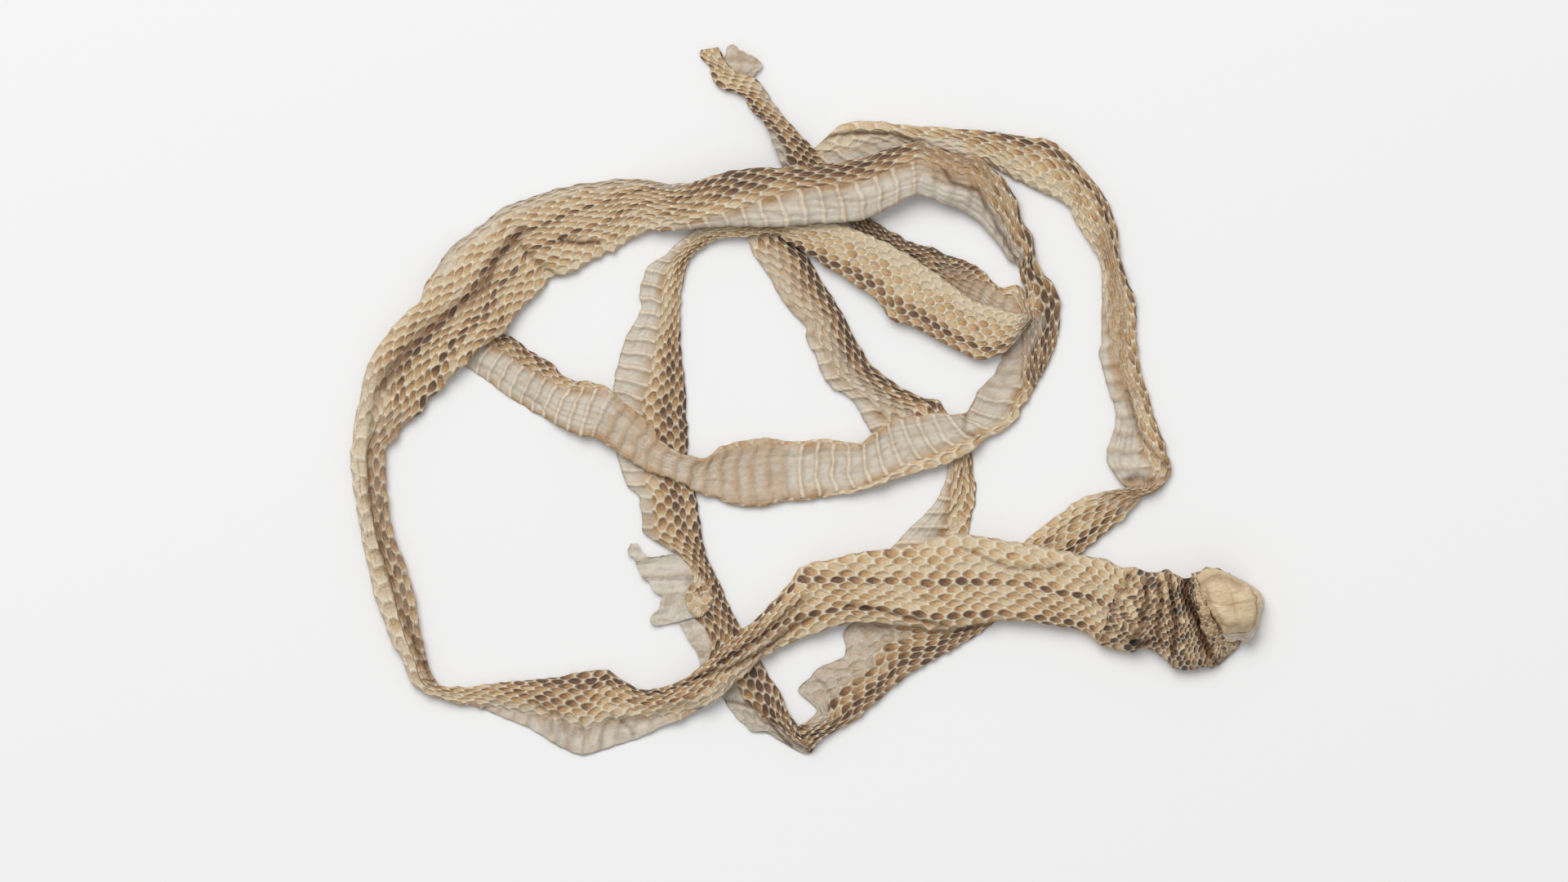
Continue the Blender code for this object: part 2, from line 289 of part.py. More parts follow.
def tube_of_skin(name, edges, levels, middle, material):
    """A closed tube, extruded from station to station and capped at both ends."""
    mesh = bpy.data.meshes.new(name)
    bm = bmesh.new()
    rings = [ring_points(row, level_at(levels, i), middle) for i, row in enumerate(edges)]
    start_cap = bm.faces.new([bm.verts.new(point) for point in rings[0]])
    end_cap = start_cap
    for ring in rings[1:]:
        last_cap = end_cap
        extruded = bmesh.ops.extrude_face_region(bm, geom=[last_cap])["geom"]
        end_cap = next(item for item in extruded if isinstance(item, bmesh.types.BMFace))
        for vertex, point in zip(end_cap.verts, ring):
            vertex.co = point
        if last_cap is not start_cap:
            bm.faces.remove(last_cap)
    bmesh.ops.recalc_face_normals(bm, faces=bm.faces)
    bmesh.ops.triangulate(bm, faces=bm.faces)
    bm.to_mesh(mesh)
    bm.free()
    mesh.shade_smooth()
    mesh.set_sharp_from_angle(angle=1.0)
    mesh.materials.append(material)
    skin = bpy.data.objects.new(name, mesh)
    bpy.context.scene.collection.objects.link(skin)
    return skin


def skin_material(name, colour):
    material = bpy.data.materials.new(name)
    material.use_nodes = True
    shader = material.node_tree.nodes["Principled BSDF"]
    shader.inputs["Base Color"].default_value = colour
    shader.inputs["Roughness"].default_value = SKIN_ROUGHNESS
    shader.inputs["Metallic"].default_value = 0.0
    return material


clear_scene()
slough_middle = middle_of(HEAD_LENGTH_EDGES + TAIL_LENGTH_EDGES)
tube_of_skin("head_length", HEAD_LENGTH_EDGES, HEAD_LENGTH_LEVELS, slough_middle,
             skin_material("dry_back_skin", HEAD_LENGTH_COLOUR))
tube_of_skin("tail_length", TAIL_LENGTH_EDGES, TAIL_LENGTH_LEVELS, slough_middle,
             skin_material("dry_belly_skin", TAIL_LENGTH_COLOUR))
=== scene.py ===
"""Shed snake skin lying in loose loops: the look of it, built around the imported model.

Tables are in millimetres, as the skin lies on the table seen from above; stations run tailwards.
"""

import bmesh
import bpy
import numpy as np
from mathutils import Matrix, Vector, noise


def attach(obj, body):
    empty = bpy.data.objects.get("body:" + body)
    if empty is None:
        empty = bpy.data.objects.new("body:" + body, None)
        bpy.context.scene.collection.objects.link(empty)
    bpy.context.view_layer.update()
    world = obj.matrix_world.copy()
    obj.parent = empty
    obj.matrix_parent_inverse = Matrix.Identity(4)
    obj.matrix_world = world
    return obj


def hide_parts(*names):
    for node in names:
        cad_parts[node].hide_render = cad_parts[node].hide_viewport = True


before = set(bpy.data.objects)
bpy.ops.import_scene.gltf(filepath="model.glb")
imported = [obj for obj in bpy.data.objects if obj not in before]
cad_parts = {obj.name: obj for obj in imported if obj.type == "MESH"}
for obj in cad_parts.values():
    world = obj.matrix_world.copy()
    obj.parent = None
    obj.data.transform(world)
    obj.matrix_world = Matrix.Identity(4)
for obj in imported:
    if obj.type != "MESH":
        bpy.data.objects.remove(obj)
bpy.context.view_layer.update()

# ---------------------------------------------------------------------------------------------
# Head length.  The shed outer layer of the skin, from the neck to its torn end under the upper
# left curve: paper-thin dry keratin, a tube that came off inside out in one pull and collapsed
# flat, with rows of small scales over the back and one row of broad scutes along the belly.

# Edges of the strand, (left x, left y, right x, right y) for somebody who walks tailwards.
HEAD_LENGTH_EDGES = [
    (140.9, -67.5, 141.2, -61.8), (139.8, -71.5, 139, -58.5), (137.5, -75, 135.5, -56.2),
    (133.5, -77, 131, -54.2), (129.5, -80, 127, -53), (126, -82.8, 123.5, -52.4),
    (121.5, -83.8, 120.5, -54.6), (117.5, -84.5, 117.5, -55.8), (113.5, -83.8, 114.5, -55),
    (110.5, -80.8, 111.5, -53.2), (107.5, -78.8, 107.5, -54.1), (104, -77.4, 103.8, -53.4),
    (100.5, -78.8, 100.5, -52.4), (96, -78.2, 96.5, -52.3), (91, -76.8, 92.5, -49.9),
    (87.5, -73.8, 88, -49.3), (83, -71.5, 83.5, -48.2), (79, -71.2, 79, -47.3),
    (75, -70.2, 74.5, -46.3), (70, -69.5, 69.5, -45.4), (65, -69.1, 64.5, -44.7),
    (60, -68.8, 59.5, -43.8), (55, -69.6, 54.5, -42.9), (50, -70.4, 49.5, -42.3),
    (45, -71.3, 44.5, -42.1), (40, -72, 39.5, -43.3), (35, -71.2, 34.5, -44.9),
    (30, -70.5, 29.5, -45.9), (25, -70, 24.5, -46.8), (20, -69.6, 19.5, -47.3),
    (15, -69.7, 14.5, -47.9), (10.5, -70.2, 9, -49.6), (6.5, -71.4, 4, -50.4),
    (2.5, -72.8, 0, -51.4), (-1.5, -74.2, -3.2, -53.2), (-5, -75.7, -5.3, -56.4),
    (-8, -77.3, -8, -59.6), (-11, -78.7, -10.8, -62.8), (-13.8, -80, -14.2, -66.4),
    (-16.5, -82.5, -17.5, -69.6), (-19.5, -85.6, -21.5, -72.6), (-23, -88.5, -25.5, -76),
    (-26.5, -92, -29.5, -79.6), (-30.5, -94.8, -33.5, -83.2), (-35, -97.2, -37.5, -86.3),
    (-39.5, -99.7, -42, -88.6), (-44.5, -101.6, -46.5, -90.1), (-49, -103.7, -50.5, -90.4),
    (-54, -106, -54.5, -89.4), (-59, -107.6, -58.5, -87), (-64.5, -109.4, -62.5, -84.4),
    (-70.3, -110.7, -67, -84.5), (-75.5, -109, -72.5, -85.4), (-80, -106.7, -78, -86.6),
    (-84.5, -103.6, -83, -87.2), (-89.5, -101.2, -88, -87.6), (-95, -99, -93.5, -88.1),
    (-100, -97, -99, -88.7), (-104, -95.5, -104, -89.6), (-108, -95.4, -108.5, -89.7),
    (-112.5, -94.2, -112, -89.5), (-116, -92.9, -114.5, -89.1), (-119.5, -91.6, -115.8, -88),
    (-122.3, -89.4, -116.8, -86.2), (-124.2, -86.8, -117.6, -84), (-125.3, -83, -118.4, -81),
    (-127, -79.4, -119.4, -77.6), (-129.4, -76, -120.2, -74), (-130.8, -71.8, -120.9, -70.2),
    (-132.6, -67.4, -121.6, -65.6), (-134, -62.8, -122.4, -61), (-135.4, -57.8, -123.6, -56.4),
    (-136.4, -53, -125.4, -51.6), (-137.6, -48, -127.2, -46.8), (-138.7, -43.4, -128.9, -42),
    (-139.4, -38.6, -129.9, -37.4), (-140.3, -33.6, -130.5, -32.6),
    (-141.2, -28.2, -130.9, -27.6), (-141.5, -23.4, -131.3, -22.6), (-142.1, -18.5, -131.3, -18),
    (-141.4, -13.6, -130.6, -14.4), (-141.2, -9.4, -128.2, -12.4), (-140.4, -4.8, -126, -9.2),
    (-139.2, -0.4, -122.4, -6), (-138.5, 4, -119.2, -3.6), (-137.6, 8, -117.8, -0.4),
    (-135.8, 12.2, -114.2, 2.6), (-133.4, 16.4, -111.8, 5.4), (-130.4, 20.2, -109, 8.6),
    (-127.2, 24, -106.2, 10.6), (-123.6, 27.4, -103.6, 13.6), (-120.2, 30.8, -100.6, 16.4),
    (-119, 35.2, -97, 18.6), (-115.8, 39.6, -94, 20.8), (-113, 44.4, -91.8, 24.2),
    (-109.4, 48.2, -88.8, 28), (-105.2, 51.2, -84.8, 31.4), (-101, 54.2, -81.8, 35),
    (-97, 57.8, -79.4, 37.6), (-91.8, 60.6, -75, 38.2), (-86.6, 62.2, -71, 40.2),
    (-81.6, 64, -67.4, 42.2), (-76.4, 65.4, -64, 44.2), (-71, 66.6, -60, 45.9),
    (-65.6, 67.2, -57.2, 47.9), (-60, 68, -53.6, 50), (-54.6, 68.1, -50, 51.7),
    (-49.4, 67.6, -45.6, 51.6), (-44.4, 66.7, -41, 51.9), (-39.6, 66.4, -36.6, 52.4),
    (-34.8, 67.1, -32, 53), (-30, 68.9, -27.2, 53.2), (-25, 70.2, -22.4, 53.2),
    (-20, 71, -17.4, 53.2), (-15, 71.5, -12.2, 53), (-10, 71.3, -7, 53.3), (-5, 71.6, -2, 53.8),
    (0, 72, 3, 54.1), (5, 72.7, 8, 54.3), (10, 73.1, 13, 54.7), (15, 74, 17.8, 55.5),
    (20, 75.5, 21.8, 57.3), (25, 77.5, 26, 59.5), (30, 79, 30, 61.6), (35, 79.3, 33.6, 62.9),
    (40, 77.6, 37.4, 62), (45, 75.8, 41.4, 60.2), (50, 75.3, 45.6, 58.8), (53.4, 74.4, 49.2, 57),
    (56.4, 71.6, 52.4, 54.8), (59, 69.6, 55, 52.2), (61.6, 66.4, 57, 50),
    (63.6, 63.2, 58.8, 47.8), (65, 59.8, 60.2, 45.6), (66.2, 55.8, 61.8, 43.2),
    (68.4, 52.4, 63.8, 42.2), (69.8, 49.2, 65, 41.4), (70.2, 45.6, 65.4, 39.8),
    (70.8, 42, 65.8, 37.8), (72.6, 39.2, 66.6, 35.6), (75, 36.6, 67.8, 33.4),
    (76.8, 33.8, 67.8, 30.6), (77.9, 30.4, 68.2, 28), (78.2, 26.8, 68.4, 25.2),
    (77.8, 23, 67.8, 22.8), (77.4, 19.4, 64.4, 19.8), (76.4, 16, 62, 16.8),
    (75.2, 12.6, 60.4, 13.8), (73.6, 9.2, 59.2, 10.6), (71.6, 6, 57.6, 7.4), (70, 2.8, 55, 5),
    (68.2, -0.2, 53, 2.6), (66.4, -3.2, 51.4, 0), (64.4, -6.8, 50.2, -2.8),
    (61.2, -9.6, 48.4, -4.4), (57.6, -11, 46.4, -5), (54.4, -13, 44.2, -5.1),
    (51.4, -15.8, 41.8, -4.6), (48.4, -17.8, 39, -4.5), (45, -19.5, 36, -5.2),
    (41.4, -20.9, 33, -5.7), (37.6, -21.9, 29.8, -6.1), (33.6, -23.2, 26.6, -6.8),
    (29.6, -24.3, 23.6, -8.2), (25.4, -25.9, 21, -10.2), (21.2, -27.4, 18.4, -12.3),
    (17, -28.6, 15.4, -14), (12.6, -29.6, 11.6, -13.5), (8.2, -30.2, 7.4, -12.9),
    (3.6, -31, 3, -12.7), (-1, -31.8, -1.6, -13.3), (-5.6, -31.9, -6.2, -13.3),
    (-10, -32.5, -10.6, -12.6), (-14.4, -33.7, -14.8, -12.4), (-19, -33.7, -18.8, -12.9),
    (-23.4, -33.2, -22.4, -13.6), (-27.4, -31.6, -25.8, -14.6), (-31.4, -30.4, -29, -16.4),
    (-35, -28.9, -32.2, -18.6), (-38.4, -26.8, -36, -18), (-42, -25.2, -39.6, -17),
    (-46, -24, -43, -15.6), (-50, -22.6, -46, -12.8), (-54, -20.2, -48.8, -9),
    (-57.6, -18.2, -51.6, -5.8), (-60.6, -15.8, -54.4, -3.6), (-63.8, -13.9, -57.4, -1.2),
    (-66.8, -11.9, -60.4, 1.6), (-70, -12, -64, 4.2), (-74, -10.2, -68.2, 5.2),
    (-78, -8.4, -72.6, 5.6), (-82, -6, -76.4, 7.2), (-86, -3.8, -79.6, 10.9),
    (-90, -1.4, -83.6, 13), (-94, 1.2, -87.4, 15.6), (-98, 4.2, -91.2, 18.4),
    (-102, 7, -95.4, 20.4), (-106, 9.6, -99.6, 21.8), (-110.2, 12, -105, 22.4),
    (-114, 14.6, -110.4, 21.6),
]

# (station, height of the left edge, of the right edge, thickness of the collapsed tube); the
# first two rows tuck it in under the neck.
HEAD_LENGTH_LEVELS = [
    (11, 0.2, 0.2, 4.6), (14, 0.3, 0.4, 5.5), (15, 0.6, 0.8, 5.8), (16, 1.6, 2.2, 5.2),
    (17, 2.4, 2.6, 4.6), (30, 2.6, 2.6, 4), (32, 2.4, 2, 4), (34, 1.4, 0.8, 4.2),
    (36, 1.2, 0.8, 4.2), (37, 1.8, 1.4, 4.3), (38, 2.3, 2.2, 4.4), (39, 2.5, 2.5, 4.5),
    (44, 2.5, 2.5, 4.4), (45, 1.9, 1.9, 4.4), (46, 1, 1, 4.4), (47, 0.4, 0.4, 4.4),
    (48, 0, 0, 4.2), (52, 0, 0, 3.2), (58, 0, 0, 3.2), (61, 0, 0, 4), (64, 0, 0, 4.6),
    (81, 0, 0, 4.6), (84, 0, 0, 3.8), (86, 1.2, 1.2, 3.4), (88, 2.4, 2.4, 3.4),
    (94, 2.4, 2.4, 3.4), (95, 1.6, 1.6, 3.4), (97, 0.2, 0.2, 3.4), (98, 0, 0, 3.2),
    (104, 0, 0, 3.2), (106, 1.4, 1.4, 3.4), (109, 4.3, 4.3, 3.8), (110, 4.6, 4.6, 4),
    (124, 4.6, 4.4, 4.4), (126, 4.6, 2.8, 4.8), (128, 4.2, 1.2, 5), (129, 4, 0.6, 5),
    (130, 3.4, 0.2, 5), (131, 2.4, 0, 4.8), (133, 0.6, 0, 4.4), (134, 0, 0, 4.2),
    (142, 0, 0, 3.6), (144, 0, 0, 2.4), (149, 0, 0, 2.4), (152, 0, 0, 3), (155, 0.4, 0.6, 3),
    (156, 1.4, 1.6, 3), (157, 2.1, 2.2, 3), (165, 2.3, 2.3, 3), (166, 1.8, 1.9, 3),
    (167, 0.9, 1.1, 3.1), (168, 0.3, 0.3, 3.2), (169, 0, 0, 3.2), (176, 0, 0, 3.2),
    (177, 0.4, 0.4, 3), (178, 1.2, 1.2, 2.9), (179, 2.1, 2.1, 2.8), (180, 2.3, 2.3, 2.8),
    (188, 2.3, 2.3, 2.8), (189, 1.7, 1.7, 2.8), (191, 0.4, 0.4, 2.6), (192, 0, 0, 2.2),
    (194, 0, 0, 1.9), (199, 0, 0, 1.6),
]

# How the strand is rolled: (station, place around the body at its left edge, its middle, its
# right edge).  0 is the middle of the back, 0.5 the middle of the belly, and + is to the right.
HEAD_LENGTH_ROLL = [
    (9, -0.22, 0.02, 0.27), (14, -0.15, 0.085, 0.3), (16, -0.11, 0.1, 0.3),
    (20, -0.111, 0.094, 0.305), (24, -0.138, 0.082, 0.302), (30, -0.18, 0.038, 0.21),
    (34, -0.171, -0.022, 0.127), (38, -0.26, -0.08, 0.1), (44, -0.36, -0.22, -0.01),
    (48, -0.46, -0.325, -0.06), (51, -0.52, -0.26, -0.02), (54, -0.43, -0.29, -0.06),
    (57, -0.38, -0.27, -0.12), (60, -0.37, -0.27, -0.15), (64, -0.345, -0.26, -0.13),
    (68, -0.345, -0.19, -0.02), (72, -0.345, -0.165, -0.03), (80, -0.345, -0.165, -0.03),
    (82, -0.345, -0.14, 0.04), (84, -0.34, -0.11, 0.1), (86, -0.33, -0.07, 0.12),
    (90, -0.33, -0.03, 0.25), (94, -0.38, -0.05, 0.31), (98, -0.37, 0.02, 0.3),
    (104, -0.33, 0.03, 0.3), (106, -0.28, 0.1, 0.34), (108, -0.14, 0.155, 0.4),
    (110, 0, 0.22, 0.44), (112, 0.06, 0.27, 0.47), (116, 0.13, 0.4, 0.51),
    (120, 0.14, 0.41, 0.53), (124, 0.16, 0.41, 0.53), (127, 0.17, 0.4, 0.55),
    (131, 0.08, 0.3, 0.52), (134, 0.05, 0.2, 0.4), (138, 0.03, 0.11, 0.22),
    (142, 0.01, 0.085, 0.16), (144, -0.01, 0.12, 0.28), (146, -0.03, 0.24, 0.54),
    (148, 0, 0.34, 0.57), (150, 0.24, 0.455, 0.6), (154, 0.29, 0.46, 0.65),
    (158, 0.28, 0.44, 0.66), (162, 0.28, 0.455, 0.66), (166, 0.325, 0.495, 0.67),
    (172, 0.34, 0.5, 0.67), (178, 0.34, 0.5, 0.67), (182, 0.34, 0.5, 0.67),
    (186, 0.34, 0.5, 0.66), (189, 0.36, 0.52, 0.69), (192, 0.36, 0.56, 0.8),
    (196, 0.36, 0.57, 0.84), (199, 0.36, 0.57, 0.84),
]

# How the strand lies: (station, length of one scute, how far the middle of the strand is sunk,
# depth of its lengthwise folds, as shares of its thickness, and how much darker its scales are
# at its left and its right edge).
HEAD_LENGTH_LIE = [
    (11, 3, 0, 0.1, 0.1, 0.1), (14, 3.6, 0, 0.1, 0.05, 0), (18, 5.2, 0, 0.08, 0, -0.1),
    (32, 5.6, 0, 0.1, 0, 0), (35, 4.6, 0, 0.25, 0.05, 0.15), (38, 4.3, 0, 0.22, -0.05, 0.2),
    (46, 4.6, 0, 0.25, -0.2, 0.45), (52, 4.8, 0.1, 0.1, -0.1, 0.4),
    (56, 4.8, 0, 0.1, -0.1, 0.35), (60, 5, 0, 0.15, -0.1, 0.1), (64, 5.6, 0, 0.12, -0.22, 0.22),
    (82, 5.7, 0, 0.12, -0.2, 0.22), (90, 5.4, 0, 0.15, 0.12, 0.15), (99, 4.8, 0, 0.15, 0, -0.05),
    (107, 4.8, 0, 0.2, 0.2, 0), (112, 6, 0, 0.1, 0.65, -0.1), (121, 6.1, 0, 0.12, 0.65, -0.1),
    (125, 6.1, 0, 0.12, 0.35, 0.15), (132, 5.7, 0.1, 0.2, 0.3, 0.25),
    (140, 5.6, 0.1, 0.2, 0.35, 0.35), (148, 5.6, 0.3, 0.1, 0.3, 0.8),
    (152, 5.4, 0.35, 0.1, 0.2, 0.4), (156, 5.3, 0.4, 0.1, 0.1, 0.1),
    (170, 5.1, 0.4, 0.1, 0.1, 0.1), (176, 4.9, 0.4, 0.1, 0.2, 0.1),
    (185, 4.7, 0.4, 0.1, 0.2, 0.1), (189, 4.2, 0.2, 0.2, 0, 0.35), (199, 3.9, 0.1, 0.1, 0, 0.45),
]

# Where worn or turned skin lies bare of scales: (first station, last station, share of the width
# where it starts, where it ends, how bare, how tan: 0 is the grey inner side).
HEAD_LENGTH_INNER = [
    (93, 109, -0.1, 0.13, 0.55, 0.2), (124, 129.5, -0.1, 0.62, 0.5, 1),
    (124, 136, 0.6, 1.1, 0.75, 0.1), (143, 151, 0.45, 1.1, 0.5, 0.3),
    (171, 187, -0.1, 1.1, 0.4, 0.9), (62, 83, 0.5, 1.1, 0.4, 0.8),
    (60, 86, -0.1, 0.42, 0.22, 0.2), (36, 45, -0.1, 0.35, 0.35, 0.5),
    (46, 57, -0.1, 0.34, 0.6, 0.15), (48, 54, 0.34, 0.42, 0.35, 0.1),
]

# Where an edge is a single torn layer lying flat: (first station, last station, share of the
# width on the left, on the right, whether the tube slopes gently down to it).
HEAD_LENGTH_THIN = [
    (44, 57, 0.22, 0, 1), (94, 108, 0.1, 0, 0), (145, 151, 0, 0.25, 1), (191, 199, 0.2, 0, 0),
]

# Where a fold swallows part of the skin: (first station, last station, share of the width, place
# around the body where it goes in, where it comes out).
HEAD_LENGTH_TUCKS = [(63, 82, 0.47, -0.285, -0.13)]

# Folds that show on top: (first station, last station, depth of the groove, its width, how far
# the layer on its left laps up over the right, how dark the shade painted in the groove is,
# route).
HEAD_LENGTH_FOLDS = [
    (24, 37, 0.8, 0.6, 0.7, 0.6, [(12.1, -64.1), (21.2, -65.2), (28.7, -67.3), (33.5, -68.4),
        (39.5, -70), (43.8, -70.6)]),
    (16, 24, 0.5, 0.6, 0.5, 0.4, [(49.1, -46.9), (60.9, -52.3), (71.7, -53.1), (78.1, -51.8)]),
    (33, 46, 1.2, 0.9, 0.4, 0.6, [(-36, -87), (-24, -83.5), (-13, -77.5), (-4, -70.5),
        (6, -66)]),
    (33, 46, 1, 0.8, 0.4, 0.6, [(-27, -82), (-17, -76), (-9, -69), (-1, -62.5), (12, -58)]),
    (44, 57, 1, 0.55, 0.5, 0.35, [(-84, -94.5), (-79.8, -98.5), (-79.6, -102), (-81, -105)]),
    (44, 57, 1.1, 0.6, 0.5, 0.35, [(-78, -97.5), (-75.5, -101.5), (-75, -105), (-75.3, -108.6)]),
    (44, 57, 0.9, 0.5, 0.5, 0.3, [(-70.6, -99.5), (-69.6, -104.5), (-70.3, -110)]),
    (44, 57, 1.1, 0.6, 0.5, 0.35, [(-60.5, -99), (-63.6, -102.5), (-64.2, -106), (-64, -109)]),
    (44, 57, 0.9, 0.5, 0.5, 0.3, [(-58, -100), (-55, -103.2), (-53.5, -106.5)]),
    (60, 84, 1.2, 0.9, -0.3, 0.55, [(-116.5, -88), (-120.5, -80), (-126, -67), (-129.8, -56.5),
        (-131.6, -51.2), (-133, -42.4), (-135.4, -34.8), (-136.3, -29), (-136.3, -18),
        (-135.3, -5), (-132.5, 4)]),
    (98, 103, 0.9, 0.6, 0.3, 1, [(-77, 49.1), (-71, 48.2), (-65.1, 48.3)]),
    (93, 105, 0.7, 0.7, 0.6, 0.5, [(-89.8, 48), (-83.4, 41.6), (-77, 37.8), (-74.8, 37.8),
        (-68, 40.6), (-59.8, 44.8)]),
    (149, 160, 0.7, 0.6, 0.6, 0.6, [(52.2, 1.6), (49, -3.7), (48.5, -10.2), (51.7, -12.3)]),
    (123, 138, 0.5, 0.7, 1.3, 0.6, [(42.2, 70.5), (43.7, 67.1), (49, 65.4), (52.6, 64.5),
        (55.6, 58.6), (61.5, 48.2), (64.5, 43)]),
    (84, 110, 1.2, 1.5, 0.8, 0.85, [(-88.8, 51.8), (-97.4, 42.7), (-99.5, 36.2), (-102.7, 33),
        (-117.8, 21.2), (-125.3, 13.7), (-130.7, 6.1), (-133.9, -0.3)]),
]
HEAD_LENGTH = (HEAD_LENGTH_EDGES, HEAD_LENGTH_LEVELS, HEAD_LENGTH_ROLL, HEAD_LENGTH_LIE,
               HEAD_LENGTH_INNER, HEAD_LENGTH_THIN, HEAD_LENGTH_TUCKS, HEAD_LENGTH_FOLDS)

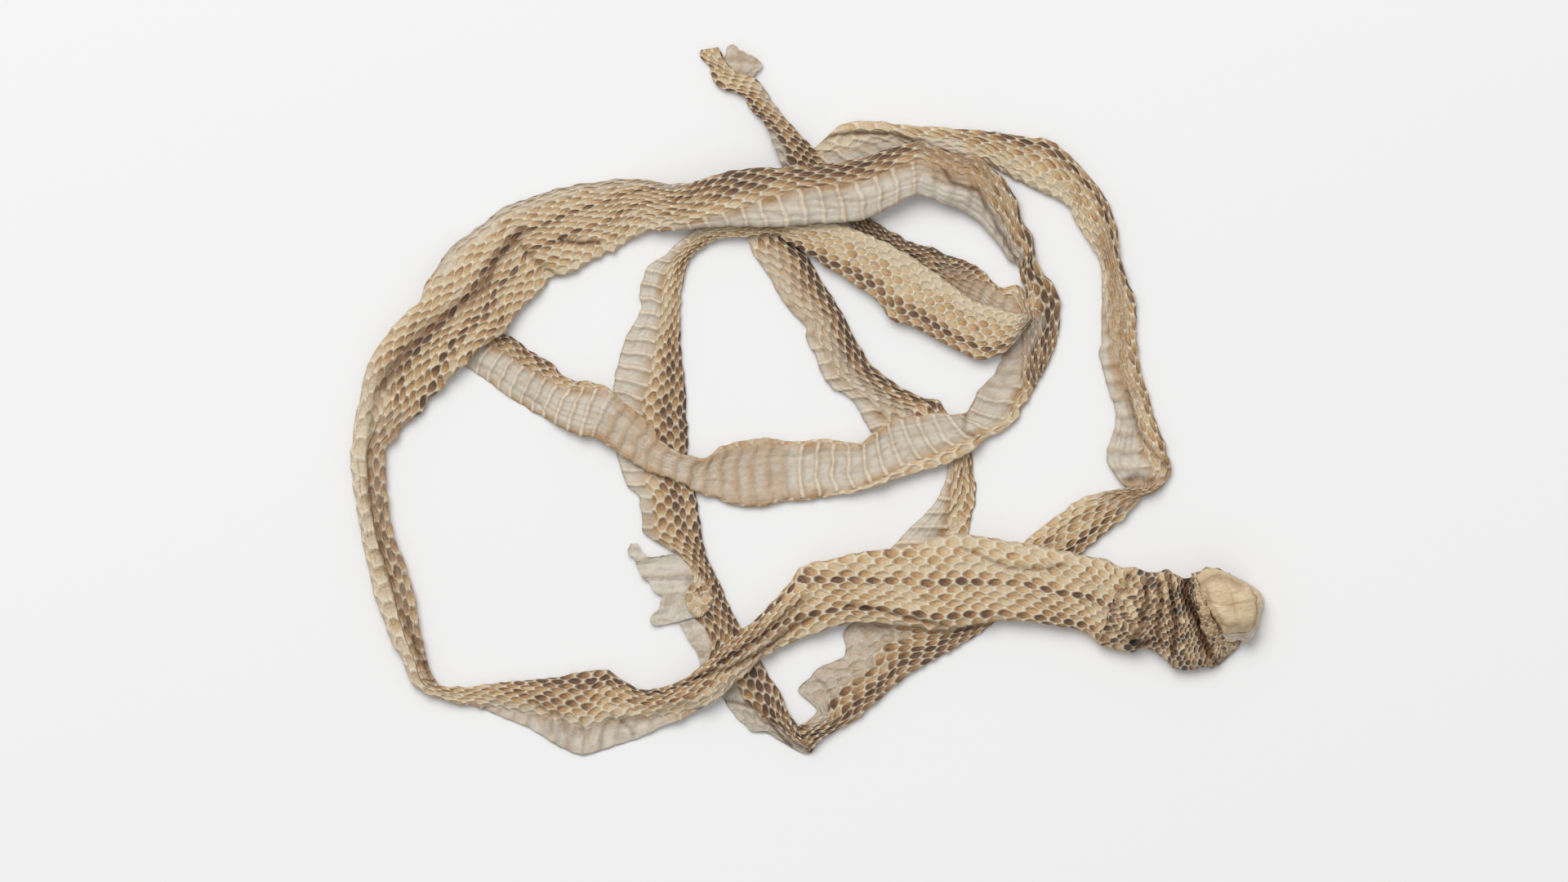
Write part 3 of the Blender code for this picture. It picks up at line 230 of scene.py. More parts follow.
# The edges of the tail length too, because the middle of the whole skin is the model's origin.
TAIL_LENGTH_EDGES = [
    (22, -57, 38, -61), (23.5, -52.5, 43, -54), (25, -47.6, 47.5, -47),
    (28.5, -43.4, 49.6, -42.4), (32, -39.8, 50.2, -38.4), (36, -36, 51.2, -34.6),
    (39.6, -32, 52, -30.4), (41.4, -28.4, 51.8, -26.6), (42.6, -24.8, 51, -23),
    (43.4, -21.6, 51, -19.4), (42.6, -18.8, 50.6, -16), (39.5, -17, 49.6, -12.6),
    (33.5, -15, 47, -8.8), (26.5, -13.2, 44.2, -5.8), (20.6, -11.2, 42.2, -3.4),
    (18.6, -8.8, 40.6, -0.6), (16.6, -5.6, 36.6, -0.2), (14.8, -2.4, 33.2, 1.2),
    (12.6, 0.4, 29.6, 2.8), (9.8, 1.8, 26, 5.2), (7.6, 3, 22.8, 7.6), (5.4, 5.4, 19.8, 9.8),
    (4, 7.6, 18, 12.4), (3, 10.4, 16.4, 15.2), (2.2, 13.2, 14.8, 17.8), (0.6, 15.8, 13.4, 20.6),
    (-0.8, 18.6, 12, 23.4), (-0.9, 21.8, 10.6, 26.2), (-2.6, 24.2, 8.8, 29.2), (-5, 26.4, 7, 32),
    (-7.4, 29.4, 5, 35), (-9.4, 32.6, 3.2, 38), (-11.2, 35.8, 1.6, 41),
    (-13.2, 39.2, -0.2, 43.8), (-15.2, 42, -2.6, 46.4), (-17, 44.6, -4.8, 48.6),
    (-18.4, 47.6, -6.4, 51), (-19.2, 50.6, -7.6, 53.6), (-19, 54.4, -7, 55.8),
    (-17.4, 58.4, -4.8, 58), (-14.6, 62.2, -2.2, 60), (-11.6, 66.4, 1.2, 61.8),
    (-9.2, 70.6, 5.4, 63.4), (-6, 74.4, 10, 64.6), (-1, 76.4, 13.5, 65.6), (3.4, 79, 17.5, 66.6),
    (6.6, 82.2, 21.5, 67.6), (10.2, 84.9, 25, 68.6), (15, 86, 28.5, 69.6), (20, 86.1, 32, 70.4),
    (25, 85.5, 35.5, 71), (30, 84.9, 39, 71.6), (35, 84.3, 42.5, 72.2), (40, 84.2, 46.5, 73),
    (45, 83.8, 50.5, 73.6), (50, 83.3, 54.5, 73.2), (55, 83, 58, 71.4), (60, 82.3, 61.6, 69.4),
    (65, 81.6, 65.6, 67.2), (70, 80.7, 69.6, 65.2), (75.2, 79.9, 73.4, 63.5),
    (79.2, 77, 76.8, 61.9), (82.2, 74.2, 79.8, 60.4), (85.2, 71.2, 81.4, 58.8),
    (88.2, 67.6, 82.2, 56.6), (91, 64.2, 83.2, 54.2), (93.2, 60, 84.8, 51.8),
    (94.8, 55.6, 86.8, 48.8), (96.1, 50.6, 88.8, 45.6), (96.2, 46, 90.4, 42.2),
    (97.4, 41.4, 91.1, 38.8), (99, 36.8, 91.1, 35.2), (100.6, 32.4, 91.2, 31.2),
    (101.7, 27.6, 90.9, 27), (101.8, 22.8, 90.9, 22.6), (101.8, 18, 90.9, 18.2),
    (102.2, 13.4, 90.4, 13.2), (103.1, 8.8, 91.2, 8.8), (104.4, 4.2, 92.6, 4.4),
    (105.9, -0.4, 94, -0.2), (107.2, -5, 95.3, -4.6), (108.6, -9.4, 95.2, -8.6),
    (110.2, -13.4, 93.8, -12.6), (111.5, -17.4, 92.6, -16.6), (112.3, -21.2, 93.3, -21),
    (112.3, -23.6, 95.6, -24.6), (111.2, -25.8, 97.8, -26.8), (109.4, -28, 98.4, -27.7),
    (106.8, -29.4, 97.4, -28.1), (103.8, -30.4, 95, -28.4), (102, -32.6, 91.6, -29),
    (99.2, -35.8, 88, -30.1), (96, -38.8, 84.6, -31.4), (92.6, -41.4, 81.2, -33.6),
    (89.4, -44.2, 77.6, -36.2), (86.4, -46.6, 74, -38.8), (83.4, -49, 70.6, -41.4),
    (79.5, -51.8, 66.8, -44.6), (75.5, -54.6, 62.5, -48), (71.5, -57.6, 58, -51.6),
    (67.5, -61, 53.8, -55.2), (63.5, -64.6, 49.8, -58.6), (60.2, -67.8, 46.2, -61.8),
    (57, -70.2, 43, -64.6), (53, -73, 38.5, -66.8), (49, -75.4, 33, -68), (45, -77.8, 27, -68.6),
    (41, -80, 21, -69), (37, -82.2, 14.5, -69.6), (33.4, -84.4, 10.8, -73),
    (30, -86.4, 11.6, -77.6), (26.6, -89.2, 10.6, -80.6), (23.4, -92.2, 4, -83.2),
    (20.2, -94.8, 0, -87), (17, -97.8, -3.2, -90.6), (13.8, -100.4, -0.2, -93.8),
    (10, -102.4, 2.6, -96.8), (6.6, -104.2, 1.4, -98.6), (4.4, -105.4, -0.6, -100.4),
    (2.4, -107.6, -2.2, -101.6), (0.2, -110.4, -3, -102), (-3.6, -109.4, -3.8, -101.6),
    (-7, -107.4, -4.8, -100), (-10.4, -105.3, -6, -97.6), (-14.2, -103.8, -7.2, -95.6),
    (-18.2, -103, -8.4, -92.6), (-21.8, -99.6, -10, -89.4), (-24.4, -96.4, -12, -86.6),
    (-26.8, -93, -13.8, -83.4), (-28.6, -89.6, -15.6, -80.2), (-30.2, -86.6, -17.4, -76.8),
    (-31, -82, -19.6, -73), (-30.4, -76.6, -21.8, -69.8), (-32.2, -71.4, -23.6, -66.6),
    (-35.6, -67.4, -25.2, -63.2), (-37.2, -63.2, -26.4, -60), (-36.8, -59.4, -27.6, -57.6),
    (-35.4, -55.8, -28.6, -55.2), (-36.8, -52.2, -30.2, -52.4), (-39.4, -49.4, -31.4, -49.6),
    (-43.4, -46.8, -32.4, -46.4), (-47.8, -44.2, -33, -43.2), (-51.4, -41.6, -33.5, -39.8),
    (-51.6, -37.6, -34, -36.4), (-52.2, -33.6, -34.6, -33), (-53, -30.2, -35.1, -29.8),
    (-56.2, -27, -35.8, -26.6), (-57.8, -23.4, -36.6, -23.2), (-59.2, -18.6, -37.4, -19.8),
    (-60, -14, -37.6, -16.4), (-60.4, -9.4, -37.4, -12.8), (-60.6, -4.6, -37.7, -8.8),
    (-60.7, 0, -38, -4.4), (-60.6, 4, -38, 0), (-59.8, 8, -38.4, 4.6), (-58.9, 12, -38.9, 9.2),
    (-57.7, 16, -39.5, 13.8), (-56.1, 20.2, -39.7, 18.2), (-53.6, 24.2, -39.8, 22.6),
    (-51.9, 28.4, -39.9, 27.2), (-52.4, 33, -39.6, 31.6), (-51.6, 37, -39, 35.8),
    (-49.6, 41.2, -38.2, 39.6), (-46.4, 43.4, -37, 42.8), (-43.4, 45.6, -35.6, 44.9),
    (-40.4, 48.6, -33.8, 46.3), (-37.4, 50.8, -31.6, 47.8), (-33.6, 53, -29.2, 49),
    (-29.4, 53.9, -26.2, 49.8), (-24.8, 54.4, -22.6, 50), (-20.2, 54.8, -19, 50.1),
    (-15.4, 54.9, -15.4, 50.6), (-10.8, 54.8, -11.4, 51.2), (-6, 54.8, -8, 49.4),
    (-0.6, 54.8, -4.8, 47.7), (5, 54.8, -1.6, 45.8), (10, 54.2, 1.8, 43.3),
    (14.6, 52.4, 5.4, 40.8), (19, 50.5, 9.4, 38.6), (23, 48.9, 13.4, 35.8), (26.8, 47, 17, 33.4),
    (30.6, 44.8, 20.4, 31.1), (34.2, 42.6, 23.2, 27.8), (37.6, 40.2, 26, 23.9),
    (41, 37.8, 30.4, 23), (44.6, 35.2, 34.6, 21), (48, 32.4, 38.6, 18.9), (51.6, 30.2, 43, 16.5),
    (55.4, 29, 47.6, 14.2), (59.2, 27.9, 52.4, 12), (62.8, 26.9, 57.6, 12.7),
    (65.4, 26.4, 62, 15.2), (67, 26.3, 65.4, 19), (67.9, 26.6, 68, 23), (67.2, 26, 69.2, 25.2),
    (66.2, 25.4, 68.9, 27.6), (65, 25, 68, 30.6), (63.2, 24.8, 66.6, 33.4),
    (61.2, 25, 64.6, 35.2), (58.8, 25.4, 61, 34.4), (56.2, 26.4, 58, 35.6),
    (52.6, 29, 54.8, 38.8), (48.6, 30.4, 51.6, 41.4), (44.6, 32.8, 47.6, 43.2),
    (40.6, 35.6, 43, 44.4), (36.8, 38.2, 39.2, 46.6), (32.8, 40.8, 35, 47.5), (28.6, 43, 31, 49),
    (24.4, 45.4, 27, 51.2), (20.2, 47.8, 23.2, 53.2), (16.4, 50.8, 19.4, 55.8),
    (12.6, 54.6, 16.4, 59), (8.6, 57.4, 13.2, 62), (4.4, 60.6, 10.4, 65.2), (0, 64.2, 8, 68),
    (-4.6, 68, 6, 70.6), (-8, 71.8, 4.4, 73.4), (-10, 76.4, 3, 75.6), (-11.4, 79.6, 1, 78.2),
    (-12.4, 83.2, -1.6, 80.8), (-14.2, 86, -4.2, 83.6), (-16.8, 88.6, -6.8, 86.6),
    (-19, 91.2, -9.6, 89.8), (-20.4, 93.8, -12, 93.4), (-24, 95.3, -13.6, 95.9),
    (-26.9, 96.2, -15.6, 98.6), (-29.4, 98.6, -17.4, 99.9), (-30.4, 101.2, -21.4, 100.6),
    (-31.2, 103.6, -24, 102.7), (-33.6, 106, -25.9, 105.3), (-33.4, 108.2, -28.2, 109),
]
corners = np.array(HEAD_LENGTH_EDGES + TAIL_LENGTH_EDGES).reshape(-1, 2)
MIDDLE = (corners.min(axis=0) + corners.max(axis=0)) / 2

MM = 0.001
BELLY = 0.35              # place around the body where the belly scutes start
BELLY_SOFT = 0.012        # how softly the scales give way to the scutes there
ROW_STEP = 0.0304         # one row of back scales around the body, about 1.9 mm of skin
ROW_SPREAD = 0.18         # how much wider the rows get on their way to the belly
SCALE_SIDES = (1.35, 1.325)           # slopes of a scale's six-sided outline, in scutes and rows
SCALE_LONG, SCALE_WIDE = 0.44, 0.57   # half size of a scale's brown middle, in scutes and rows
SCALE_POWER = 2.0         # between a lozenge (1) and an oval (2)
SCUTE_BOW = 0.18          # how far the hind edge of a scute bows, in scutes
NET, RIDGE = 0.085, 0.05  # height of the net between the scales and of a scute's hind edge, in
                          # scutes: the skin lies inside out, so its scales are sunken
EDGE_RISE = 0.40          # height of the rolled edges, as a share of the thickness
SHEET = 0.7               # height of a single torn layer with its curl, in mm
SHEET_WALL = 0.25         # its own thickness, in mm, drawn thicker than real skin so that it shows
SOFT_ENDS = 0.6           # how softly a patch or a fold starts and ends, in stations
RAGGED = 0.3              # how far the edges of a strand wander, in mm
STEPS = 24                # steps of a station that the length of a strand is measured in


def curve_through(rows, at):
    """Catmull-Rom curve through the stations, read at fractional stations."""
    last = len(rows) - 1
    here = np.clip(np.floor(at).astype(int), 0, last - 1)
    share = (at - here)[:, None]
    a, b, c, d = (rows[np.clip(here + k, 0, last)] for k in (-1, 0, 1, 2))
    return 0.5 * (2 * b + (c - a) * share + (2 * a - 5 * b + 4 * c - d) * share ** 2
                  + (3 * b - a - 3 * c + d) * share ** 3)


def length_along(rows, at):
    """How far along the middle of a strand its fractional stations lie, in mm."""
    track = curve_through(rows, at)
    middle = (track[:, :2] + track[:, 2:]) / 2
    return np.append(0, np.cumsum(np.linalg.norm(np.diff(middle, axis=0), axis=1)))


def read_at(table, at):
    """Each column of a table of stations, read at fractional stations."""
    return [np.interp(at, table[:, 0], column)[:, None] for column in table.T[1:]]


def ramp_up(value, low, high):
    """0 up to low, 1 from high, and a smooth rise between them."""
    share = np.clip((value - low) / (high - low), 0.0, 1.0)
    return share * share * (3 - 2 * share)


def between(value, start, end, soft):
    """1 from start to end and 0 outside them, with a smooth change at both."""
    return ramp_up(value, start - soft, start + soft) * ramp_up(-value, -end - soft, -end + soft)


def wander(seed, x, y):
    """Smooth random heights, about -1 to 1, over two arrays of places."""
    x, y = np.broadcast_arrays(x, y)
    flat = [noise.noise(Vector((a, b, seed))) for a, b in zip(x.ravel(), y.ravel())]
    return np.array(flat).reshape(x.shape) * 1.7


def crumple(seed, flat, size):
    """The same over places on the table, with bumps of a size in mm."""
    return wander(seed, flat[..., 0] / size, flat[..., 1] / size)


def off_route(places, route):
    """Distance of places from a drawn route, in mm: plus on its left, minus on its right."""
    best = np.full(places.shape[:-1], 1e9)
    side = np.ones_like(best)
    for start, end in zip(np.array(route[:-1], float), np.array(route[1:], float)):
        step = end - start
        share = np.clip(((places - start) @ step) / (step @ step), 0, 1)
        away = places - start - share[..., None] * step
        distance = np.linalg.norm(away, axis=-1)
        nearer = distance < best
        best = np.where(nearer, distance, best)
        side = np.where(nearer, np.sign(step[0] * away[..., 1] - step[1] * away[..., 0]), side)
    return best * side


def skin_relief(scutes, around):
    """Relief of the skin in scute lengths: sunken scales on the back, overlapping belly scutes."""
    place = np.abs((around + 0.5) % 1.0 - 0.5)
    side = np.sign((around + 0.5) % 1.0 - 0.5)
    rows = side * place / ROW_STEP * (1 - ROW_SPREAD * place / BELLY) + 0.5
    along = np.abs(scutes - np.round(scutes))
    across = np.abs(rows - 2 * np.round(rows / 2))
    in_odd_row = SCALE_SIDES[0] * along + SCALE_SIDES[1] * across > 1
    along = np.where(in_odd_row, 0.5 - along, along)
    across = np.where(in_odd_row, 1 - across, across)
    spread = (along / SCALE_LONG) ** SCALE_POWER + (across / SCALE_WIDE) ** SCALE_POWER
    scale = NET * ramp_up(spread, 0.0, 1.75)
    step = (scutes + SCUTE_BOW * ((place - 0.5) / (0.5 - BELLY)) ** 2) % 1.0
    hind_edge = np.exp(-(np.minimum(step, 1 - step) / 0.10) ** 2)
    scute = RIDGE * (0.8 * hind_edge + 0.4 * step - 0.4 * np.sin(np.pi * step))
    on_belly = ramp_up(place, BELLY - BELLY_SOFT, BELLY + BELLY_SOFT)
    return scale * (1 - on_belly) + scute * on_belly


def collapsed_section(at, run, share, thick, sunk, fold, thin, seed):
    """Heights of a tube's top and underside, as shares of its thickness."""
    # torn single layers along an edge: the tube only starts beyond them
    bare_left, bare_right, slope = np.zeros((3, len(at), 1))
    for start, end, from_left, from_right, gentle in thin:
        there = between(at, start, end, 0.7)[:, None]
        slope = np.maximum(slope, there * gentle)
        bare_left = np.maximum(bare_left, there * from_left)
        bare_right = np.maximum(bare_right, there * from_right)
    tube = (share - bare_left) / (1 - bare_left - bare_right)
    inside = (tube >= 0) & (tube <= 1)
    crown = np.where(inside, 1 - np.abs(2 * np.clip(tube, 0, 1) - 1) ** 3, 0)
    body = EDGE_RISE + (0.97 - EDGE_RISE) * np.sqrt(crown)
    sheet = SHEET / thick * (1 + 0.5 * wander(seed + 3, share * 5, run / 7))
    body = np.where(inside, body, np.minimum(sheet, body))
    from_thin = np.where(bare_left > bare_right, tube, 1 - tube)
    sloped = sheet + (body - sheet) * ramp_up(from_thin, 0, 0.5)
    body = np.where((from_thin > 0) & (from_thin < 1), body + (sloped - body) * slope, body)
    hollow = 1 - sunk * np.clip(1.15 * crown ** 2, 0, 1)
    creases = ramp_up(1 - np.abs(wander(seed + 1, share * 9, run / 26)), 0.45, 1.0)
    swell = 0.06 * wander(seed + 2, share * 3, run / 9)
    upper = body * hollow * (1 - fold * creases * np.sqrt(crown)) + swell * np.sqrt(crown)
    has_sheet = bare_left + bare_right > 0.03
    return upper, EDGE_RISE * np.abs(2 * share - 1) ** 8 * np.where(has_sheet, 0.15, 1)


def place_around(at, share, is_top, roll, tucks):
    """Place around the body: over the top through the middle, then underneath to a full turn."""
    at_left, at_middle, at_right = read_at(roll, at)
    over_top = (at_left * (1 - share) * (1 - 2 * share) + 4 * at_middle * share * (1 - share)
                + at_right * share * (2 * share - 1))
    for start, end, fold_at, before, after in tucks:
        left_part = at_left + (before - at_left) * share / fold_at
        right_part = after + (at_right - after) * (share - fold_at) / (1 - fold_at)
        tucked = np.where(share < fold_at, left_part, right_part)
        over_top = over_top + between(at, start, end, 1.5)[:, None] * (tucked - over_top)
    return np.where(is_top, over_top, at_left + 1 + (at_right - at_left - 1) * share)


def bare_patches(at, run, share, is_top, inner, seed):
    """How bare of scales the skin is, and how tan it is there."""
    bare, tan = np.zeros((2, len(at), share.shape[1]))
    ragged = 0.05 * wander(seed, run / 4, share * 0)
    for start, end, from_share, to_share, strength, warmth in inner:
        there = between(at, start, end, SOFT_ENDS)[:, None] * is_top
        there = there * between(share + ragged, from_share, to_share, 0.04)
        bare = np.maximum(bare, there * strength)
        tan = np.maximum(tan, there * warmth)
    return bare, tan


def laid_skin(name, points, lay, shades, tube=False):
    """Lays a grid of skin over rows of points in mm; a tube is closed at its two ends."""
    rows, columns = points.shape[0] - 1, points.shape[1] - 1
    bm = bmesh.new()
    bmesh.ops.create_grid(bm, x_segments=rows, y_segments=columns, size=0.5)
    mesh = bpy.data.meshes.new(name)
    bm.to_mesh(mesh)
    places = np.empty(len(mesh.vertices) * 3)
    mesh.vertices.foreach_get("co", places)
    places = places.reshape(-1, 3)
    row = np.round((places[:, 0] + 0.5) * rows).astype(int)
    column = np.round((places[:, 1] + 0.5) * columns).astype(int)
    mesh.vertices.foreach_set("co", ((points - (*MIDDLE, 0)) * MM)[row, column].ravel())
    corner = np.empty(len(mesh.loops), int)
    mesh.loops.foreach_get("vertex_index", corner)
    flat_skin = np.stack([part[row[corner], column[corner]] for part in lay], 1)
    mesh.uv_layers.new(name="lay").data.foreach_set("uv", flat_skin.ravel())
    for key, values in shades.items():
        shade = mesh.attributes.new(key, "FLOAT", "POINT")
        shade.data.foreach_set("value", values[row, column].ravel())
    bm.clear()
    bm.from_mesh(mesh)
    bmesh.ops.remove_doubles(bm, verts=bm.verts, dist=1e-6)
    if tube:
        bmesh.ops.holes_fill(bm, edges=[e for e in bm.edges if e.is_boundary])
    bmesh.ops.recalc_face_normals(bm, faces=bm.faces)
    if not tube and sum(face.normal.z for face in bm.faces) < 0:
        bmesh.ops.reverse_faces(bm, faces=bm.faces)
    bm.to_mesh(mesh)
    bm.free()
    mesh.shade_smooth()
    skin = bpy.data.objects.new(name, mesh)
    bpy.context.scene.collection.objects.link(skin)
    return skin


def strand_of_skin(name, strand, first, last, ring_gap, over, under, seed, patches=0.0, slant=0.0,
                   jagged=0.0, warp=1.0):
    """A collapsed tube of skin from one station to another, on its tables' edges and levels.

    Its grid has a ring every ring_gap mm, and so many columns over the top and underneath.  The
    neck is darker in patches, ends at a slant and jagged, and has its scales pulled askew.
    """
    *tables, tucks, folds = strand
    edges, levels, roll, lie, inner, thin = (np.array(table, float) for table in tables)
    fine = np.linspace(first, last, int((last - first) * STEPS) + 1)
    length = length_along(edges, fine)
    run = np.linspace(0, length[-1], int(length[-1] / ring_gap) + 1)
    at = np.interp(run, length, fine)
    pitch, sunk, fold, dark, dark_right = read_at(lie, at)
    low_left, low_right, thick = read_at(levels, at)
    scutes = np.append(0, np.cumsum(np.diff(run) / pitch[1:, 0]))[:, None]
    run = run[:, None]
    # places across the top, closer together at the rolled edges, and back along the underside
    top = np.linspace(0, 1, over + 1)
    top = top - 0.08 * np.sin(2 * np.pi * top)
    share = np.concatenate([top, np.linspace(1, 0, under + 1)[1:]])[None, :]
    is_top = np.arange(over + 1 + under)[None, :] <= over
    from_edge = np.abs(2 * share - 1)
    left = curve_through(edges, at)[:, None, :2]
    right = curve_through(edges, at + slant * (at - first) / (last - first))[:, None, 2:]
    sideways = right - left
    sideways = sideways / np.maximum(np.linalg.norm(sideways, axis=2, keepdims=True), 1e-6)
    left = left + sideways * wander(seed, run / 3.1, 0.0)[..., None] * RAGGED
    right = right + sideways * wander(seed + 7, run / 3.1, 0.0)[..., None] * RAGGED
    flat = left + (right - left) * share[..., None]
    upper, lower = collapsed_section(at, run, share, thick, sunk, fold, thin, seed)
    ground = low_left + (low_right - low_left) * share
    height = ground + thick * np.where(is_top, upper, lower)
    points = np.concatenate([flat, height[..., None]], axis=2)
    around = place_around(at, share, is_top, roll, tucks)
    around = around + 0.006 * warp * wander(seed + 4, run / 11 * warp, share * 4 * warp)
    scutes = scutes + 0.10 * warp * wander(seed + 5, run / 14 * warp, share * 4 * warp)
    around[:, -1] = around[:, 0] + 1
    scutes[:, -1] = scutes[:, 0]
    bare, tan = bare_patches(at, run, share, is_top, inner, seed + 6)
    # relief stands off the smooth tube along its normals, and dies out on the underside
    along = np.gradient(points, axis=0)
    across = np.roll(points[:, :-1], -1, 1) - np.roll(points[:, :-1], 1, 1)
    across = np.concatenate([across, across[:, :1]], axis=1)
    outward = np.cross(across, along)
    outward /= np.maximum(np.linalg.norm(outward, axis=2, keepdims=True), 1e-9)
    shows = np.clip(outward[..., 2] * 1.5 + 1, 0, 1) * np.clip(thick / 3, 0.5, 1)
    relief = skin_relief(scutes, around) * pitch * shows * np.clip(1 - 1.2 * bare ** 2, 0, 1)
    dents = crumple(seed + 9, flat, 2.6) * 0.13 + crumple(seed + 10, flat, 6) * 0.25
    relief = relief + dents * shows * np.clip(thick / 3, 0.4, 1)
    points = points + outward * relief[..., None]
    # drawn folds: a groove along the route, and one layer lapping over the next to its left
    # the rolled edges are darkened a little, and each groove gets brown shade painted along it
    crease = 0.25 * ramp_up(from_edge + 0 * run, 0.9, 1.0)
    uneven = 0.25 * crumple(seed + 11, flat, 2)
    for start, end, groove, width, lap, groove_shade, route in folds:
        there = between(at, start, end, SOFT_ENDS)[:, None] * is_top
        away = off_route(flat, route) + uneven
        near = np.exp(-(away / width) ** 2)
        lapped = np.where(away > 0, 1 - ramp_up(away, 0.3, 7.0), 0) * ramp_up(away, -0.25, 0.25)
        points[..., 2] += there * (1 - from_edge ** 6) * (lap * lapped - groove * near)
        # painted shade along the groove
        crease = np.maximum(crease, there * groove_shade * np.exp(-(away / width / 1.2) ** 2))
    if jagged:
        jag = wander(seed + 13, share * 9, run * 0) * ramp_up(at, last - 2, last)[:, None]
        jag = jag * is_top * (1 - from_edge ** 6)
        along = along / np.linalg.norm(along, axis=2, keepdims=True)
        points = points + along * (jagged * jag)[..., None]
    lowest = ground + np.where(is_top, thick * lower + 0.3, 0)
    points[..., 2] = np.maximum(points[..., 2], lowest)
    points[:, -1] = points[:, 0]
    darker = dark + (dark_right - dark) * share + 0.14 * wander(seed + 8, run / 17, share * 2)
    darker = darker + patches * crumple(seed + 12, flat, 3.5)
    shades = {"bare": bare, "brown": tan, "darker": darker, "crease": crease}
    return laid_skin(name, points, (scutes, around), shades, tube=True)


def linear(hex_colour):
    """sRGB hex colour as the linear colour that a socket takes."""
    parts = [int(hex_colour[k:k + 2], 16) / 255 for k in (1, 3, 5)]
    return [p / 12.92 if p < 0.04045 else ((p + 0.055) / 1.055) ** 2.4 for p in parts] + [1.0]


def add_node(tree, kind, sockets, out=0, **settings):
    """Adds a node with its settings; a socket is given a value or another node's output."""
    node = tree.nodes.new("ShaderNode" + kind)
    for key, value in settings.items():
        setattr(node, key, value)
    for key, value in sockets.items():
        if isinstance(value, bpy.types.NodeSocket):
            tree.links.new(value, node.inputs[key])
        else:
            node.inputs[key].default_value = value
    return node.outputs[out]


def set_stops(ramp, stops):
    """Gives a colour ramp its stops, (position, linear colour)."""
    for _ in stops[2:]:
        ramp.elements.new(1.0)
    for element, (position, colour) in zip(ramp.elements, stops):
        element.position = position
        element.color = colour


def new_material(name):
    material = bpy.data.materials.new(name)
    material.use_nodes = True
    return material, material.node_tree


# Shed keratin is matt and slightly waxy.  Each scale has a brown lens in a cream hinge of bare
# skin, darkest along a stripe on each side of the back; the scutes are greyer and see-through.
KERATIN_IOR = 1.54
FINE_RELIEF = 0.5         # height of the creases that only the bump shows, in mm
ROW_TONES = [(0.5, 0.36), (1.5, 0.36), (2.5, 0.84), (3.5, 0.46), (4.5, 0.16), (5.5, 0.38),
             (6.5, 0.42), (7.5, 0.22), (8.5, 0.10), (12.0, 0.10)]
ROW_SPAN = 12.0
SCALE_BROWNS = [(0.0, "#cfbc9d"), (0.25, "#cbae84"), (0.5, "#b89163"), (0.75, "#8b6542"),
                (1.0, "#60442f")]
SHADE_AND_TONE_BROWN = "#8a6a4b"         # brown multiplied into creases as painted shade, and into darker places as a deeper tone


def surface(tree, colour, height, strength, mottle, roughness):
    """Links the colour, the finest creases, and a sheen that changes with the mottling."""
    shader = tree.nodes["Principled BSDF"]
    tree.links.new(colour, shader.inputs["Base Color"])
    bump = add_node(tree, "Bump", {"Height": height, "Strength": strength,
                                   "Distance": FINE_RELIEF * MM})
    tree.links.new(bump, shader.inputs["Normal"])
    shine = add_node(tree, "MapRange", {0: mottle, 1: 0.3, 2: 0.7, 3: roughness[0],
                                        4: roughness[1]})
    tree.links.new(shine, shader.inputs["Roughness"])
    shader.inputs["IOR"].default_value = KERATIN_IOR


def nearest_scale(tree, scutes, place, side):
    """Middle of the scale at each point, and how far out from it the point lies."""
    # rows of scales: even rows have a scale at each whole scute, odd rows half way between
    spread = add_node(tree, "Math", {0: place, 1: -ROW_SPREAD / BELLY / ROW_STEP,
                                     2: 1 / ROW_STEP}, operation="MULTIPLY_ADD")
    rows = add_node(tree, "Math", {0: spread, 1: place}, operation="MULTIPLY")
    rows = add_node(tree, "Math", {0: rows, 1: side}, operation="MULTIPLY")
    half_rows = add_node(tree, "Math", {0: rows, 1: 0.5, 2: 0.25}, operation="MULTIPLY_ADD")
    net = add_node(tree, "CombineXYZ", {0: scutes, 1: half_rows})
    half = (0.5, 0.5, 0.0)
    even = add_node(tree, "VectorMath", {0: net, 1: half}, operation="ADD")
    even = add_node(tree, "VectorMath", {0: even}, operation="FLOOR")
    odd = add_node(tree, "VectorMath", {0: net}, operation="FLOOR")
    odd = add_node(tree, "VectorMath", {0: odd, 1: half}, operation="ADD")
    off = add_node(tree, "VectorMath", {0: net, 1: even}, operation="SUBTRACT")
    off = add_node(tree, "VectorMath", {0: off}, operation="ABSOLUTE")
    sides = (SCALE_SIDES[0], 2 * SCALE_SIDES[1], 0.0)
    reach = add_node(tree, "VectorMath", {0: off, 1: sides}, out=1, operation="DOT_PRODUCT")
    is_odd = add_node(tree, "Math", {0: reach, 1: 1.0}, operation="GREATER_THAN")
    centre = add_node(tree, "Mix", {0: is_odd, 4: even, 5: odd}, out=1, data_type="VECTOR")
    off = add_node(tree, "VectorMath", {0: net, 1: centre}, operation="SUBTRACT")
    off = add_node(tree, "VectorMath", {0: off}, operation="ABSOLUTE")
    off = add_node(tree, "VectorMath", {0: off, 1: (1 / SCALE_LONG, 2 / SCALE_WIDE, 0.0)},
                   operation="MULTIPLY")
    parts = add_node(tree, "SeparateXYZ", {0: off}).node
    long_way, wide_way = (add_node(tree, "Math", {0: part, 1: SCALE_POWER}, operation="POWER")
                          for part in parts.outputs[:2])
    return centre, add_node(tree, "Math", {0: long_way, 1: wide_way}, operation="ADD")


